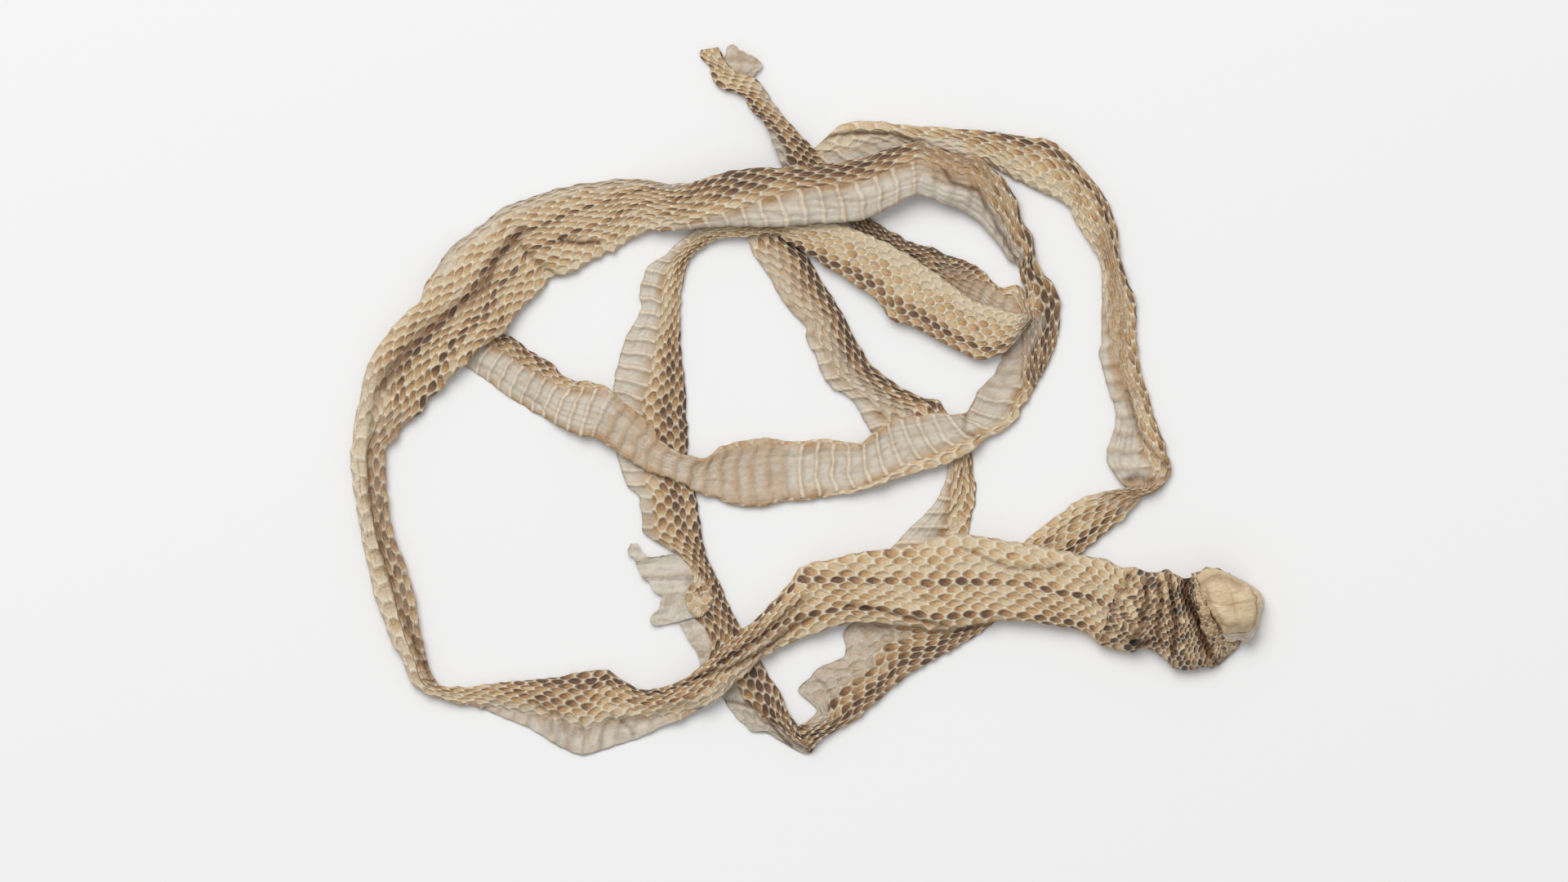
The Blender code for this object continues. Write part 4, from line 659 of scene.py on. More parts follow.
def keratin(name, row_tones, browns, scatter, hinge, scute, ridge, tan, inner):
    """Dry shed skin; scatter is how far single scales stray from the tone of their row."""
    material, tree = new_material(name)
    lay = add_node(tree, "UVMap", {}, uv_map="lay")
    scutes, around = add_node(tree, "SeparateXYZ", {0: lay}).node.outputs[:2]
    turned = add_node(tree, "Math", {0: around, 1: 0.5, 2: -0.5}, operation="WRAP")
    place = add_node(tree, "Math", {0: turned}, operation="ABSOLUTE")
    side = add_node(tree, "Math", {0: turned}, operation="SIGN")
    centre, lens = nearest_scale(tree, scutes, place, side)
    darker, bare, browned, crease = (
        add_node(tree, "Attribute", {}, out=2, attribute_name=key)
        for key in ("darker", "bare", "brown", "crease"))
    # mottling of about 8, 3, 1 and 0.4 mm
    position = add_node(tree, "TexCoord", {}, out=3)
    patch, blotch, speck, grain = (
        add_node(tree, "TexNoise", {"Vector": position, "Scale": scale, "Detail": detail})
        for scale, detail in ((130.0, 4.0), (320.0, 5.0), (900.0, 3.0), (2600.0, 4.0)))
    # back scales: the brown has uneven edges, and is darkest at the hind end of a scale, partly
    # pigment and partly the shade of the sunken bowl, painted in
    lens = add_node(tree, "Math", {0: speck, 1: 0.9, 2: lens}, operation="MULTIPLY_ADD")
    brown_part, bowl = (
        add_node(tree, "MapRange", {0: lens, 1: inside, 2: outside, 3: start, 4: 1 - start},
                 interpolation_type="SMOOTHSTEP")
        for inside, outside, start in ((0.95, 1.90, 1.0), (0.3, 2.3, 0.0)))
    chance = add_node(tree, "TexWhiteNoise", {"Vector": centre}, noise_dimensions="3D")
    middle, row = add_node(tree, "SeparateXYZ", {0: centre}).node.outputs[:2]
    row = add_node(tree, "Math", {0: row, 1: 2.0, 2: -0.5}, operation="MULTIPLY_ADD")
    row = add_node(tree, "Math", {0: row}, operation="ABSOLUTE")
    row = add_node(tree, "Math", {0: row, 1: 1 / ROW_SPAN}, operation="MULTIPLY")
    tone = add_node(tree, "ValToRGB", {0: row})
    set_stops(tone.node.color_ramp, [(n / ROW_SPAN, (v, v, v, 1.0)) for n, v in row_tones])
    hind_end_tone_and_shade = add_node(tree, "Math", {0: scutes, 1: middle}, operation="SUBTRACT")
    for part, weight in ((darker, 1.0), (chance, scatter), (speck, 0.4), (grain, 0.6),
                         (hind_end_tone_and_shade, 0.70)):
        tone = add_node(tree, "Math", {0: part, 1: weight, 2: tone}, operation="MULTIPLY_ADD")
    tone = add_node(tree, "Math", {0: tone, 1: 0.54 + scatter / 2}, operation="SUBTRACT")
    brown = add_node(tree, "ValToRGB", {0: tone})
    set_stops(brown.node.color_ramp, [(n, linear(colour)) for n, colour in browns])
    back = add_node(tree, "Mix", {0: brown_part, 6: linear(hinge), 7: brown}, out=2,
                    data_type="RGBA")
    # belly scutes: a cream hind edge that bows backwards, a tan shadow painted in before it
    bow = add_node(tree, "Math", {0: place, 1: 1 / (0.5 - BELLY), 2: -0.5 / (0.5 - BELLY)},
                   operation="MULTIPLY_ADD")
    bow = add_node(tree, "Math", {0: bow, 1: bow}, operation="MULTIPLY")
    step = add_node(tree, "Math", {0: bow, 1: SCUTE_BOW, 2: scutes}, operation="MULTIPLY_ADD")
    step = add_node(tree, "Math", {0: step}, operation="FRACT")
    step = add_node(tree, "Math", {0: step, 1: 0.5}, operation="PINGPONG")
    frayed = add_node(tree, "Math", {0: blotch, 1: 0.25, 2: step}, operation="MULTIPLY_ADD")
    hind_edge, shadow, pillow, flank = (
        add_node(tree, "MapRange", {0: part, 1: near, 2: far, 3: strength, 4: 0.0},
                 interpolation_type="SMOOTHSTEP")
        for part, near, far, strength in (
            (frayed, 0.15, 0.26, 0.65), (frayed, 0.20, 0.42, 0.6), (frayed, 0.14, 0.50, 0.75),
            (place, BELLY + 0.01, BELLY + 0.09, 1.0)))
    tan_part = add_node(tree, "Math", {0: shadow, 1: flank}, operation="MAXIMUM")
    patchy = add_node(tree, "MapRange", {0: patch, 1: 0.35, 2: 0.65, 3: 0.35, 4: 1.0})
    tan_part = add_node(tree, "Math", {0: tan_part, 1: patchy}, operation="MULTIPLY")
    blotch = add_node(tree, "MapRange", {0: blotch, 1: 0.45, 2: 0.72, 3: 0.0, 4: 0.45})
    tan_part = add_node(tree, "Math", {0: tan_part, 1: blotch}, operation="MAXIMUM")
    belly = add_node(tree, "Mix", {0: tan_part, 6: linear(scute), 7: linear(tan)}, out=2,
                     data_type="RGBA")
    turned_rib = add_node(tree, "MapRange", {0: bare, 1: 0.0, 2: 0.5})
    rib = add_node(tree, "Mix", {0: turned_rib, 6: linear(ridge), 7: linear(tan)}, out=2,
                   data_type="RGBA")
    belly = add_node(tree, "Mix", {0: hind_edge, 6: belly, 7: rib}, out=2, data_type="RGBA")
    # both on one skin, then its bare patches, and brown shade painted into its creases
    edge = add_node(tree, "Math", {0: patch, 1: 0.03, 2: place}, operation="MULTIPLY_ADD")
    on_belly = add_node(tree, "MapRange", {0: edge, 1: BELLY + 0.008, 2: BELLY + 0.022},
                        interpolation_type="SMOOTHSTEP")
    colour = add_node(tree, "Mix", {0: on_belly, 6: back, 7: belly}, out=2, data_type="RGBA")
    browned = add_node(tree, "Math", {0: blotch, 1: 1.1, 2: browned}, operation="MULTIPLY_ADD")
    browned = add_node(tree, "Math", {0: browned, 1: 0.2}, operation="SUBTRACT", use_clamp=True)
    browned = add_node(tree, "Mix", {0: browned, 6: linear(inner), 7: linear(tan)}, out=2,
                       data_type="RGBA")
    colour = add_node(tree, "Mix", {0: bare, 6: colour, 7: browned}, out=2, data_type="RGBA")
    darker_deepened = add_node(tree, "Math", {0: darker, 1: 0.5, 2: -0.07}, operation="MULTIPLY_ADD",
                     use_clamp=True)
    # creases get painted shade and darker places a deeper tone, both from the same brown
    crease = add_node(tree, "Math", {0: crease, 1: darker_deepened}, operation="MAXIMUM")
    colour = add_node(tree, "Mix", {0: crease, 6: colour, 7: linear(SHADE_AND_TONE_BROWN)}, out=2,
                      data_type="RGBA", blend_type="MULTIPLY")
    # relief: the lens of a scale, the swell of a scute, and fine creases of the dry layer
    rise = add_node(tree, "Mix", {0: on_belly, 2: bowl, 3: pillow}, data_type="FLOAT")
    for part, weight in ((speck, 0.6), (grain, 0.12)):
        rise = add_node(tree, "Math", {0: part, 1: weight, 2: rise}, operation="MULTIPLY_ADD")
    surface(tree, colour, rise, 1.0, speck, (0.5, 0.68))
    return material


def dress(piece, node, material):
    piece.data.materials.append(material)
    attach(piece, "root")
    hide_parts(node)


back_keratin = keratin("shed_keratin", ROW_TONES, SCALE_BROWNS, scatter=0.34, hinge="#e8dabf",
                       scute="#cdc4b4", ridge="#e4d8c2", tan="#af8a5f", inner="#ccc4b6")
head_length = strand_of_skin("head_length_skin", HEAD_LENGTH, first=11.5, last=199,
                             ring_gap=0.75, over=50, under=20, seed=1.0)
dress(head_length, "head_length", back_keratin)

# ---------------------------------------------------------------------------------------------
# Neck.  The skin shrank here into a wrinkled bag of small dark scales behind the head, with a deep
# groove under the collar.  Same keratin, more pigment, dried in cross pleats.
NECK_TONES = [(0.5, 0.42), (4.5, 0.45), (8.5, 0.4), (12.0, 0.35)]
NECK_BROWNS = [(0.0, "#dcc29b"), (0.3, "#b9946a"), (0.55, "#8d6c4b"), (0.8, "#5a483a"),
               (1.0, "#3a322d")]
NECK_LEVELS = [
    (3, 0, 0, 4), (5, 0, 0, 6.5), (7, 0, 0, 7.2), (8, 0, 0, 8), (9, 0, 0, 7.4), (10, 0, 0, 8.2),
    (12, 0, 0, 7.8), (14, 0, 0, 7.6), (15, 0.6, 0.8, 6.4),
]
NECK_ROLL = [(3, -0.30, 0.02, 0.30), (9, -0.25, 0.03, 0.30), (15, -0.19, 0.09, 0.33)]
NECK_LIE = [
    (3, 1.7, 0, 0, 0, 0.1), (6, 1.7, 0, 0, 0.05, 0.15), (8, 1.9, 0, 0, 0.22, 0.18),
    (9.5, 2.3, 0, 0, 0.27, 0.18), (11.5, 2.9, 0, 0, 0.18, 0.12), (13, 3.3, 0, 0, 0, 0.05),
    (15, 3.6, 0, 0, -0.3, -0.2),
]
NECK_FOLDS = [
    (3, 9.5, 3.2, 1.3, 0, 1, [(117.6, -54.2), (116.7, -59.4), (117.6, -63.1), (120.9, -68.7),
        (122.8, -75.3), (124.6, -80), (127, -83)]),
    (6, 11, 1.3, 0.9, 0.6, 0.9, [(112, -55.2), (112.5, -62.2), (113.9, -70.6), (112.9, -79)]),
    (8, 12, 1.2, 0.8, 0.5, 0.8, [(108.5, -57), (109.5, -63), (108.2, -69.5), (109.2, -76)]),
    (9, 13, 1.2, 0.9, 0.6, 0.8, [(104.5, -56.1), (104.8, -63.1), (103.1, -70.6),
        (100.7, -76.2)]),
    (9, 13, 0.9, 1.3, 0, 1, [(100.3, -75.2), (102.5, -76.6), (105.5, -75.6)]),
    (11, 15, 1, 1.2, 0.9, 0.5, [(99.5, -54.5), (97.5, -59), (93.7, -65), (91.8, -68.3),
        (93, -75)]),
]
neck_keratin = keratin("shrunken_neck_keratin", NECK_TONES, NECK_BROWNS, scatter=0.65,
                       hinge="#e2d3b6", scute="#cdbfa6", ridge="#e0d3b8", tan="#a88b66",
                       inner="#8d8478")
NECK = (HEAD_LENGTH_EDGES, NECK_LEVELS, NECK_ROLL, NECK_LIE, [], [], [], NECK_FOLDS)
neck = strand_of_skin("neck_skin", NECK, first=3.0, last=14.4, ring_gap=0.3, over=96, under=32,
                      seed=2.0, patches=0.32, slant=-2.2, jagged=1.1, warp=2.5)
dress(neck, "head_length", neck_keratin)

# Collar: the thick fold of small tan scales that rings the back of the head cap.
COLLAR_EDGES = [
    (121.4, -53.6, 118.6, -54.4), (121.6, -57.5, 118.9, -57.5), (122.6, -61.5, 119.5, -62.5),
    (124.4, -66.5, 120.8, -67.3), (126.6, -70.8, 122.6, -72.6), (128.6, -74.2, 125.6, -77.4),
    (131.2, -76, 129.5, -79.6),
]
COLLAR_LEVELS = [(0, 4.0, 3.5, 3.5), (1, 6.5, 6.0, 3.2), (3, 7.5, 6.0, 3.2), (4, 6.5, 5.0, 3.0),
                 (6, 2.0, 1.0, 2.5)]
COLLAR_ROLL = [(0, -0.06, 0.0, 0.06), (6, -0.06, 0.0, 0.06)]
COLLAR_LIE = [(0, 2.2, 0.0, 0.0, -0.1, 0.2), (6, 2.2, 0.0, 0.0, -0.15, 0.05)]
COLLAR = (COLLAR_EDGES, COLLAR_LEVELS, COLLAR_ROLL, COLLAR_LIE, [], [], [], [])
collar = strand_of_skin("collar_skin", COLLAR, first=0, last=6, ring_gap=0.25, over=28, under=14,
                        seed=4.0, patches=0.2)
dress(collar, "head_length", neck_keratin)

# ---------------------------------------------------------------------------------------------
# Head cap.  The shields of the top of the head came away in one smooth tan shell, creased along
# the seams between them, with a thin pale lip curled up over the open mouth.
CAP_MIDDLE = (130.8, -64.2)
CAP_OUTLINE = [
    (120.9, -58.6), (120.2, -55.6), (121.6, -53.6), (123.8, -52.6), (127, -53), (130.4, -54.3),
    (134.3, -56.2), (138, -58.4), (140.4, -60.4), (141.3, -62.6), (140.9, -65.2), (140, -68.6),
    (139.5, -70.9), (137.4, -73.4), (134.4, -73.6), (131.6, -73.2), (128.6, -72.9), (127, -70.4),
    (124.6, -67), (122.8, -63.6), (121.6, -61),
]
# (depth of the crease, its width, how brown: seam colour and painted shade, route) for the seams
# and bends of the shields
CAP_FOLDS = [
    (0.5, 0.9, 0.55, [(122, -57.6), (124, -56), (127.5, -55.2), (131, -56.3), (133.6, -57.8)]),
    (0.9, 0.35, 0.5, [(136.8, -58.4), (138.6, -61.6), (139, -65.2), (138.3, -69),
        (137.6, -71.4)]),
    (0.3, 0.5, 0.12, [(129.3, -57.2), (131.2, -60), (132, -64), (132.5, -68.5), (134, -70.2)]),
    (0.2, 0.5, 0.1, [(122.5, -62.4), (128, -64.4), (134, -63.6), (139, -62.6)]),
    (0.6, 0.8, 0.35, [(127.4, -70), (130, -71.2), (132.5, -70.4), (134.6, -71.8), (137, -70.2)]),
    (0.4, 0.5, 0.3, [(123, -59), (123.6, -62.5), (126, -66.4), (128.4, -70.2)]),
    (0.3, 0.5, 0.15, [(131, -61), (133.8, -59.6), (136, -60.8)]),
]
CAP_TOP = 11.6            # height of the cap over the table, in mm
CAP_RIM = (7.6, 0.6)      # height of its rim over the collar and at the snout
CAP_RINGS, CAP_SPOKES = 70, 220
CAP_WALL = 0.4            # its thickness, in mm, and the lowest that its outer side may lie
CAP_LOWEST = 0.45


def thin_wall(piece, thickness):
    """Gives a single layer its thickness in mm, below the surface that shows."""
    wall = piece.modifiers.new("wall", "SOLIDIFY")
    wall.thickness = thickness * MM
    wall.offset = -1
    return piece


def shell(name, middle, outline, folds, rim_left, rim_right, rings, spokes, seed):
    """A thin domed shell inside a drawn outline."""
    closed = np.array(outline[-1:] + outline + outline[:2], float)
    rim_line = curve_through(closed, 1 + np.arange(spokes + 1) / spokes * len(outline))
    rim_line[-1] = rim_line[0]
    rim_line += 0.18 * np.stack([crumple(seed + k, rim_line, 1.6) for k in (0, 1)], 1)
    share = np.linspace(0, 1, rings + 1)[:, None]
    flat = np.array(middle) + (rim_line - middle)[None] * share[..., None]
    snoutward = ramp_up(rim_line[:, 0], rim_line[:, 0].min(), rim_line[:, 0].max())[None, :]
    rim = rim_left + (rim_right - rim_left) * snoutward
    height = rim + (CAP_TOP - rim) * np.sqrt(1 - share ** 3.4)
    height += 0.35 * crumple(seed + 2, flat, 5)
    height += 0.09 * wander(seed + 3, flat[..., 0] / 2.2, flat[..., 1] / 0.8)
    crease = np.zeros_like(height)
    uneven = 0.25 * crumple(seed + 4, flat, 1.5)
    # brown painted along each crease, partly the seam's own colour and partly shade
    for groove, width, groove_shade, route in folds:
        away = off_route(flat, route) + uneven
        height -= groove * np.exp(-(away / width) ** 2) * (1 - share ** 8)
        crease = np.maximum(crease, groove_shade * np.exp(-(away / width / 1.5) ** 2))
    points = np.concatenate([flat, np.maximum(height, CAP_LOWEST)[..., None]], axis=2)
    lay = (flat[..., 0], flat[..., 1])
    return thin_wall(laid_skin(name, points, lay, {"crease": crease}), CAP_WALL)


def cap_keratin(name, shield, seam_and_crease_shade, shade, pale):
    """Smooth tan shields, clouded and flecked, with brown seams and painted crease shade, and fine
    cross wrinkles.
    """
    material, tree = new_material(name)
    position = add_node(tree, "TexCoord", {}, out=3)
    crease = add_node(tree, "Attribute", {}, out=2, attribute_name="crease")
    # clouds of about 5 mm and flecks of about 1.5 mm
    cloud, fleck = (
        add_node(tree, "TexNoise", {"Vector": position, "Scale": scale, "Detail": detail})
        for scale, detail in ((180.0, 5.0), (700.0, 4.0)))
    cloudy = add_node(tree, "MapRange", {0: cloud, 1: 0.4, 2: 0.65, 3: 0.0, 4: 0.8})
    flecked = add_node(tree, "MapRange", {0: fleck, 1: 0.55, 2: 0.75, 3: 0.0, 4: 0.6})
    colour = linear(shield)
    for part, over in ((cloudy, shade), (flecked, pale), (crease, seam_and_crease_shade)):
        colour = add_node(tree, "Mix", {0: part, 6: colour, 7: linear(over)}, out=2,
                          data_type="RGBA")
    # wrinkles of about 0.6 mm that run across the head
    across = add_node(tree, "Mapping", {"Vector": position, "Scale": (0.35, 1.0, 1.0)})
    wrinkle = add_node(tree, "TexNoise", {"Vector": across, "Scale": 1500.0, "Detail": 4.0})
    surface(tree, colour, wrinkle, 0.6, cloud, (0.42, 0.58))
    return material


head_cap = shell("head_cap", CAP_MIDDLE, CAP_OUTLINE, CAP_FOLDS, *CAP_RIM, CAP_RINGS, CAP_SPOKES,
                 seed=5.0)
dress(head_cap, "head_length",
      cap_keratin("head_shield_keratin", shield="#dac4a0", seam_and_crease_shade="#8c6c45", shade="#c6a981",
                  pale="#e2d2b4"))

# The lip curls up from the cap's lower rim, and below it the open jaw shows.  Both are single
# torn layers: rows of (far x, far y, near x, near y).
LIP = [
    (128, -74.6, 128.4, -72.2), (129.4, -75.4, 129.8, -72.6), (131.4, -75.6, 131.6, -72.9),
    (133.2, -75, 133.4, -73), (134.8, -75.2, 134.8, -73), (136.4, -75.8, 136.2, -72.6),
    (138.2, -73.6, 137.4, -71.6), (139.7, -71.2, 138.6, -70.4),
]
JAW = [
    (134.4, -75.4, 129.8, -73.8), (133.4, -77.2, 128.8, -75.6), (131.4, -79.2, 127.4, -77.6),
    (129.4, -81.2, 126, -79.4), (127.2, -83, 124.6, -81.2), (125, -84, 123.4, -82.4),
]
LAYER_GRID = 0.35         # size of a torn layer's grid, in mm
LAYER_LOWEST = 0.35       # the lowest that its upper side may lie over the table, in mm


def torn_layer(name, rows, heights, ribs, bare, brown, seed, around=0.5, darker=0.0, spread=0.0):
    """One torn layer from its far to its near edge, at these heights, with ribs at some rows."""
    rows = np.array(rows, float)
    fine = np.linspace(0, len(rows) - 1, 40 * len(rows))
    length = length_along(rows, fine)
    run = np.linspace(0, length[-1], int(length[-1] / LAYER_GRID) + 2)
    edges = curve_through(rows, np.interp(run, length, fine))
    widest = np.linalg.norm(edges[:, :2] - edges[:, 2:], axis=1).max()
    share = np.linspace(0, 1, int(widest / LAYER_GRID) + 2)[None, :]
    flat = edges[:, None, :2] * (1 - share[..., None]) + edges[:, None, 2:] * share[..., None]
    stops = np.interp([0, *ribs, len(rows) - 1], fine, length)
    counts = np.array([-0.5, *range(len(ribs)), len(ribs) - 0.5])
    scutes = np.interp(run, stops, counts)[:, None]
    run = run[:, None]
    flat = flat + (wander(seed, run / 1.1, share * 0) * 0.22 * (1 - share) ** 3)[..., None]
    scutes = scutes + 0.08 * wander(seed + 1, run / 3, share * 3)
    rib_gap = length[-1] / (len(ribs) + 1)
    rib = np.exp(-(((scutes + 0.5) % 1 - 0.5) * rib_gap / 0.5) ** 2)
    curl = np.exp(-share * widest / 1.4) * (0.4 + 0.5 * wander(seed + 2, run / 2.5, share * 0))
    height = heights[0] * (1 - share) + heights[1] * share + 0.16 * rib + curl
    height = height + 0.40 * crumple(seed + 3, flat, 4) + 0.12 * crumple(seed + 4, flat, 1.3)
    points = np.concatenate([flat, np.maximum(height, LAYER_LOWEST)[..., None]], axis=2)
    level = np.ones_like(height)
    shades = {"bare": bare * level, "darker": darker * level, "crease": 0.12 * rib * (spread == 0),
              "brown": brown + 0.35 * crumple(seed + 5, flat, 3)}
    lay = (scutes, around + spread * share * level)
    return thin_wall(laid_skin(name, points, lay, shades), SHEET_WALL)


lip = torn_layer("lip_skin", LIP, heights=(4.6, 7.0), ribs=(4.0,), bare=0.8, brown=0.25,
                 seed=60.0)
dress(lip, "head_length", back_keratin)
jaw = torn_layer("jaw_skin", JAW, heights=(0.9, 5.0), ribs=(1.0, 2.0, 3.0, 4.0), bare=0.45,
                 brown=0.8, seed=70.0, around=0.3, darker=0.3)
dress(jaw, "head_length", neck_keratin)

# ---------------------------------------------------------------------------------------------
# Tail length.  The rest of the slough from its torn end under the broad strand to the two torn
# lobes at the tail; thinner and narrower, with the belly and the inside showing more often.
TAIL_LENGTH_LEVELS = [
    (0, 0, 0, 1.4), (1, 0, 0, 1.8), (3, 0, 0, 1.9), (5, 0, 0, 2.4), (8, 0, 0, 2.4),
    (10, 0, 0, 1.8), (15, 0, 0, 1.8), (17, 0, 0, 2.6), (24, 0, 0, 2.8), (30, 0, 0, 2.4),
    (33, 0, 0, 1.8), (45, 0, 0, 1.8), (48, 0, 0, 3), (58, 0, 0, 3.2), (62, 0, 0, 3.6),
    (70, 0, 0, 3.6), (76, 0, 0, 3.2), (84, 0, 0, 3.6), (87, 0, 0, 4.2), (90, 0, 0, 4),
    (94, 0, 0, 3), (97, 0, 0, 2), (104, 0, 0, 2), (107, 0, 0, 2.6), (112, 0, 0, 3),
    (118, 0, 0, 3.6), (121, 0, 0, 4.2), (124, 0, 0, 3.4), (128, 0, 0, 2), (134, 0, 0, 2),
    (136, 0, 0, 2.6), (142, 0, 0, 2.6), (146, 0, 0, 2.2), (147, 0, 0, 1.8), (154, 0, 0, 1.8),
    (157, 0, 0, 2.6), (163, 0, 0, 3), (165, 0, 0, 2.8), (166, 0.5, 0.5, 2.6),
    (168, 1.8, 1.8, 2.2), (169, 2.2, 2.2, 2), (174, 2.2, 2.2, 2), (178, 2.2, 2.2, 2.4),
    (188, 2.3, 2.3, 2.4), (190, 2.7, 2.7, 2.2), (193, 2.7, 2.7, 2.2), (194, 2.2, 2.2, 2.4),
    (196, 1, 1, 2), (198, 0.2, 0.2, 1.8), (199, 0, 0, 1.8), (210, 0, 0, 1.7),
    (211, 0.3, 0.3, 1.7), (212, 0.9, 0.9, 1.7), (213, 1.8, 1.8, 1.7), (214, 2.2, 2.2, 1.7),
    (218, 2.2, 2.2, 2.2), (219, 1.8, 1.8, 2.6), (220, 1, 1, 3), (221, 0.3, 0.3, 3.2),
    (222, 0, 0, 3.4), (226, 0, 0, 3), (230, 0, 0, 1.2),
]
TAIL_LENGTH_ROLL = [
    (0, 0.38, 0.55, 0.72), (4, 0.42, 0.6, 0.78), (6, 0.52, 0.7, 0.88), (8, 0.58, 0.76, 0.95),
    (14, 0.55, 0.745, 0.97), (20, 0.53, 0.74, 0.98), (24, 0.54, 0.745, 0.97),
    (29, 0.6, 0.77, 0.96), (33, 0.65, 0.79, 0.96), (37, 0.66, 0.8, 0.96), (46, 0.25, 0.4, 0.55),
    (50, 0.22, 0.38, 0.52), (54, 0.12, 0.27, 0.38), (58, 0.04, 0.22, 0.355),
    (60, 0.03, 0.21, 0.35), (64, 0.01, 0.19, 0.34), (68, 0, 0.18, 0.34), (72, 0.08, 0.22, 0.36),
    (74, 0.13, 0.265, 0.39), (76, 0.16, 0.335, 0.47), (80, 0.17, 0.35, 0.5),
    (82, 0.18, 0.38, 0.54), (84, 0.2, 0.43, 0.6), (86, 0.2, 0.4, 0.6), (90, 0.02, 0.17, 0.33),
    (98, 0.02, 0.17, 0.33), (104, -0.01, 0.17, 0.335), (107, 0, 0.2, 0.335),
    (115, 0, 0.2, 0.335), (117, 0, 0.18, 0.335), (119, -0.05, 0.1, 0.25),
    (122, -0.25, -0.05, 0.1), (126, -0.28, -0.14, -0.01), (130, -0.27, -0.14, -0.03),
    (134, -0.33, -0.19, -0.04), (136, -0.33, -0.2, -0.04), (138, -0.34, -0.21, -0.05),
    (140, -0.37, -0.24, -0.06), (142, -0.4, -0.255, -0.08), (144, -0.4, -0.265, -0.08),
    (147, -0.47, -0.285, -0.08), (152, -0.5, -0.31, -0.07), (156, -0.54, -0.375, -0.1),
    (160, -0.5, -0.365, -0.12), (164, -0.48, -0.34, -0.12), (168, -0.4, -0.28, -0.12),
    (172, -0.36, -0.24, -0.1), (176, -0.35, -0.19, -0.05), (184, -0.35, -0.175, -0.01),
    (190, -0.35, -0.18, -0.01), (194, -0.4, -0.2, -0.04), (200, -0.66, -0.48, -0.32),
    (204, -0.42, -0.24, -0.06), (206, -0.38, -0.2, -0.03), (212, -0.3, -0.15, 0),
    (216, -0.13, -0.04, 0.06), (220, -0.12, -0.035, 0.06), (222, -0.11, -0.03, 0.06),
    (224, -0.1, -0.01, 0.07), (230, -0.09, 0, 0.08),
]
TAIL_LENGTH_LIE = [
    (0, 5.6, 0, 0.1, 0, 0), (15, 5.6, 0, 0.2, 0.05, 0.3), (19, 5.6, 0, 0.2, -0.15, 0.6),
    (36, 5.5, 0, 0.15, -0.15, 0.6), (39, 5.4, 0, 0.2, 0.2, 0.2), (46, 5.3, 0.3, 0.1, -0.2, 0),
    (56, 5.3, 0.1, 0.1, 0.3, -0.25), (70, 5.2, 0, 0.15, 0.3, -0.25),
    (80, 5.5, 0.1, 0.2, 0.15, 0), (87, 5.2, 0.1, 0.2, 0.1, 0.1), (100, 5, 0, 0.15, 0.4, 0.15),
    (114, 5, 0, 0.15, 0.4, 0.15), (119, 4.9, 0, 0.3, 0.4, 0.4), (130, 4.6, 0, 0.1, 0.45, 0.45),
    (140, 4.6, 0, 0.1, 0.35, 0.4), (150, 4.4, 0, 0.1, 0.1, 0.5), (160, 4.4, 0.1, 0.1, -0.1, 0.3),
    (172, 4.1, 0, 0.05, -0.2, 0.2), (190, 4, 0, 0.08, -0.32, 0.25),
    (198, 3.9, 0.1, 0.1, 0.1, 0.1), (203, 3.9, 0.1, 0.3, 0.6, 0.6),
    (212, 3.6, 0, 0.2, 0.6, 0.45), (221, 3.1, 0, 0.1, 0.4, 0.35), (224, 3.1, 0, 0.1, 0, 0.1),
    (230, 3.3, 0, 0.1, -0.1, 0),
]
TAIL_LENGTH_INNER = [
    (14, 26, 0.28, 0.62, 0.5, 0.3), (26, 35, -0.1, 0.6, 0.45, 0.5), (46, 54, 0.3, 1.1, 0.5, 0.2),
    (67, 79, 0.27, 0.82, 0.62, 0.9), (191.5, 195, -0.1, 1.1, 0.45, 0.6),
    (195, 204, -0.1, 0.75, 0.5, 0.8), (72, 86, 0.5, 1.1, 0.4, 0.1),
    (85, 91, -0.1, 1.1, 0.6, 0.9), (107, 118, 0.52, 1.1, 0.85, 0.4),
    (120, 130, -0.1, 0.36, 0.8, 0), (216, 219, -0.1, 0.22, 0.7, 0.1),
    (221.5, 224.5, 0.68, 1.1, 0.5, 0.35),
]
TAIL_LENGTH_THIN = [(107, 116, 0, 0.42, 0), (120, 130, 0.34, 0, 0), (2, 9, 0, 0.3, 1)]
TAIL_LENGTH_FOLDS = [
    (44, 55, 0.7, 0.7, 1.2, 0.7, [(5, 80.5), (9.7, 82.1), (13.2, 82.4), (17.9, 82.3),
        (25.8, 82.1), (32.8, 79.9), (37.2, 78.2), (42.5, 76.4), (47, 74.8)]),
    (76, 87, 0.7, 0.7, 1, 0.5, [(99.1, 2), (102.2, -10.5), (106.9, -16.8), (112, -22.2)]),
    (83, 88, 1.5, 0.8, 0.5, 0.6, [(106.5, -25.8), (102.6, -24.6), (98.5, -25.6)]),
    (104, 118, 0.8, 0.6, 1, 0.5, [(25.2, -76.4), (22.8, -81.9), (18.9, -85.8), (15, -88.9),
        (8.8, -92.8), (6.4, -96.8)]),
    (106, 117, 0.5, 0.5, 0.5, 0.35, [(2.4, -86.6), (5.4, -89.6), (7.6, -93.2), (8.2, -96)]),
    (119, 132, 0.6, 0.5, -0.6, 0.9, [(-28.4, -93.7), (-25.7, -93.9), (-20.6, -94.8),
        (-16.1, -96.4), (-13.3, -98.7), (-9.7, -103.7), (-5.1, -108.3)]),
]
TAIL_LENGTH = (TAIL_LENGTH_EDGES, TAIL_LENGTH_LEVELS, TAIL_LENGTH_ROLL, TAIL_LENGTH_LIE,
               TAIL_LENGTH_INNER, TAIL_LENGTH_THIN, [], TAIL_LENGTH_FOLDS)
tail_length = strand_of_skin("tail_length_skin", TAIL_LENGTH, first=0, last=230, ring_gap=0.72,
                             over=50, under=20, seed=3.0)
dress(tail_length, "tail_length", back_keratin)

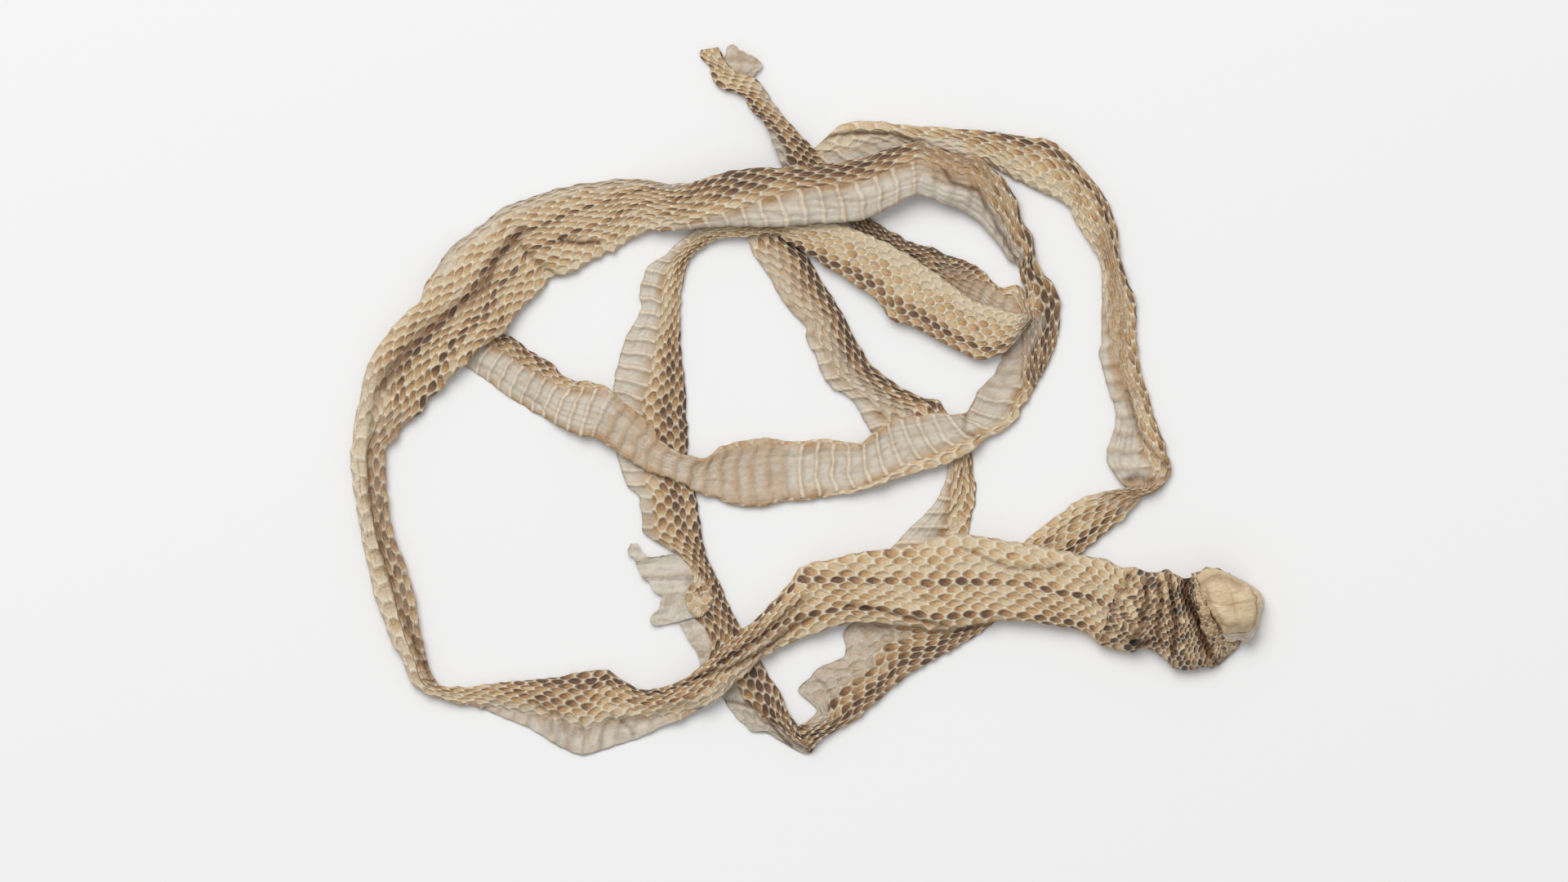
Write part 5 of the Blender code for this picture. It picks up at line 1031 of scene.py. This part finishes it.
# ---------------------------------------------------------------------------------------------
# Torn flaps.  Single layers of belly skin that tore loose beside the tail length and at its tip,
# thin and see-through, so they look paler and greyer than the folded tube, and one leaf of back
# scales that lies on the long strand.
SIDE_FLAP = [
    (-55, -45.2, -52.9, -45), (-55.9, -47, -52.3, -46.6), (-55.8, -48.6, -50.9, -48.2),
    (-54.4, -49.2, -48.8, -49.5), (-53.8, -50.2, -44.2, -48.8), (-53.5, -51.2, -41, -48.6),
    (-53.1, -52.4, -37.8, -50.2), (-52.4, -53.9, -35.6, -52.4), (-51.4, -55.9, -34.4, -55),
    (-49.6, -57, -33.8, -56.6), (-48.6, -58.8, -34.2, -58.4), (-47.2, -60.4, -34.8, -60.2),
    (-45.4, -61.6, -35.2, -61.8), (-46, -63.6, -35.4, -63.4), (-46.6, -65.6, -34.6, -65),
    (-48.7, -67.4, -34, -66.4), (-49.2, -69, -33.4, -67.4), (-48, -70.5, -36.6, -68.3),
    (-46.4, -70.6, -39.8, -69.2),
]
LOWER_FLAP = [
    (-40.4, -69.8, -34, -68.8), (-38.8, -71.8, -30.8, -70.6), (-38, -73.8, -29, -73.6),
    (-36.6, -75.8, -27.6, -77), (-35, -78, -27.2, -80), (-33.9, -81.5, -27.6, -82.6),
    (-33, -85, -28.4, -85.4),
]
TIP_LOBE = [
    (-26.1, 105.6, -25.9, 105), (-25.4, 107.5, -25.2, 104), (-25.2, 109, -24.6, 103),
    (-24, 109.8, -24, 102.4), (-22.6, 109.4, -23.2, 101.6), (-21.7, 108.3, -22.4, 100.8),
    (-20, 107.5, -21.4, 100), (-16.7, 105.8, -20.4, 99.4), (-14.3, 103.7, -19.4, 99.2),
    (-15.1, 102.4, -18.6, 99), (-16.6, 101.4, -18, 98.8), (-17.1, 100.2, -17.5, 98.8),
]
LEAF = [
    (-33.9, -54.6, -33.2, -54.8), (-36, -57, -31.2, -57.6), (-37.6, -59.6, -29.9, -60),
    (-38.2, -62.2, -29.6, -62.2), (-37.6, -64.6, -30.2, -64.6), (-36.2, -66.6, -31.4, -66.4),
    (-34.4, -68, -33, -67.8),
]
# name, rows, heights of the far and near edge, ribs, how bare, how tan, seed, place around the
# body, and how far around it the layer reaches
for name, rows, heights, ribs, bare, brown, seed, around, spread in (
        ("side_flap", SIDE_FLAP, (1.3, 1.2), (4.2, 7.8, 11.2), 0.6, -0.1, 20.0, 0.5, 0.0),
        ("lower_flap", LOWER_FLAP, (1.0, 0.9), (3.4,), 0.8, 0.3, 30.0, 0.5, 0.0),
        ("scale_leaf", LEAF, (2.2, 2.7), (0.8, 2.2, 3.6, 5.0), 0.1, 0.4, 50.0, -0.20, 0.12),
        ("tip_lobe", TIP_LOBE, (1.4, 0.8), (6.0,), 0.7, 0.45, 40.0, 0.5, 0.0)):
    flap = torn_layer(name, rows, heights, ribs, bare, brown, seed, around=around, spread=spread)
    dress(flap, "tail_length", back_keratin)

# ---------------------------------------------------------------------------------------------
# Table, light and camera.  A painted board, matt and pale, under one broad soft light and a pale
# room; a long lens looks straight down at it, so that there is almost no perspective.
TABLE_SIZE = 6.0
bm = bmesh.new()
bmesh.ops.create_grid(bm, x_segments=1, y_segments=1, size=TABLE_SIZE / 2)
mesh = bpy.data.meshes.new("table")
bm.to_mesh(mesh)
bm.free()
table = bpy.data.objects.new("table", mesh)
bpy.context.scene.collection.objects.link(table)
painted, tree = new_material("matt_white_board")
board = tree.nodes["Principled BSDF"]
board.inputs["Base Color"].default_value = linear("#f2f2f2")
board.inputs["Roughness"].default_value = 0.9
board.inputs["Specular IOR Level"].default_value = 0.1
mesh.materials.append(painted)

LAMP_PLACE = Vector((-1.0, 2.2, 3.6))
lamp = bpy.data.lights.new("overhead", "AREA")
lamp.shape = "DISK"
lamp.size = 3.4
lamp.energy = 136.0
overhead = bpy.data.objects.new("overhead", lamp)
overhead.location = LAMP_PLACE
overhead.rotation_euler = (-LAMP_PLACE).to_track_quat("-Z", "Y").to_euler()
bpy.context.scene.collection.objects.link(overhead)

world = bpy.data.worlds.new("pale_room")
world.use_nodes = True
room = world.node_tree.nodes["Background"]
room.inputs["Color"].default_value = linear("#ffffff")
room.inputs["Strength"].default_value = 0.47
bpy.context.scene.world = world
bpy.context.scene.view_settings.view_transform = "Standard"

# the long lens sees 487 mm of the table across the picture
VIEW_CENTRE = (-7.15 * MM, -12.4 * MM)
VIEW_WIDTH = 487.1 * MM
lens = bpy.data.cameras.new("camera")
lens.lens, lens.sensor_width = 200.0, 36.0
lens.clip_end = 20.0
camera = bpy.data.objects.new("camera", lens)
camera.location = (*VIEW_CENTRE, VIEW_WIDTH * lens.lens / lens.sensor_width)
bpy.context.scene.collection.objects.link(camera)
bpy.context.scene.camera = camera
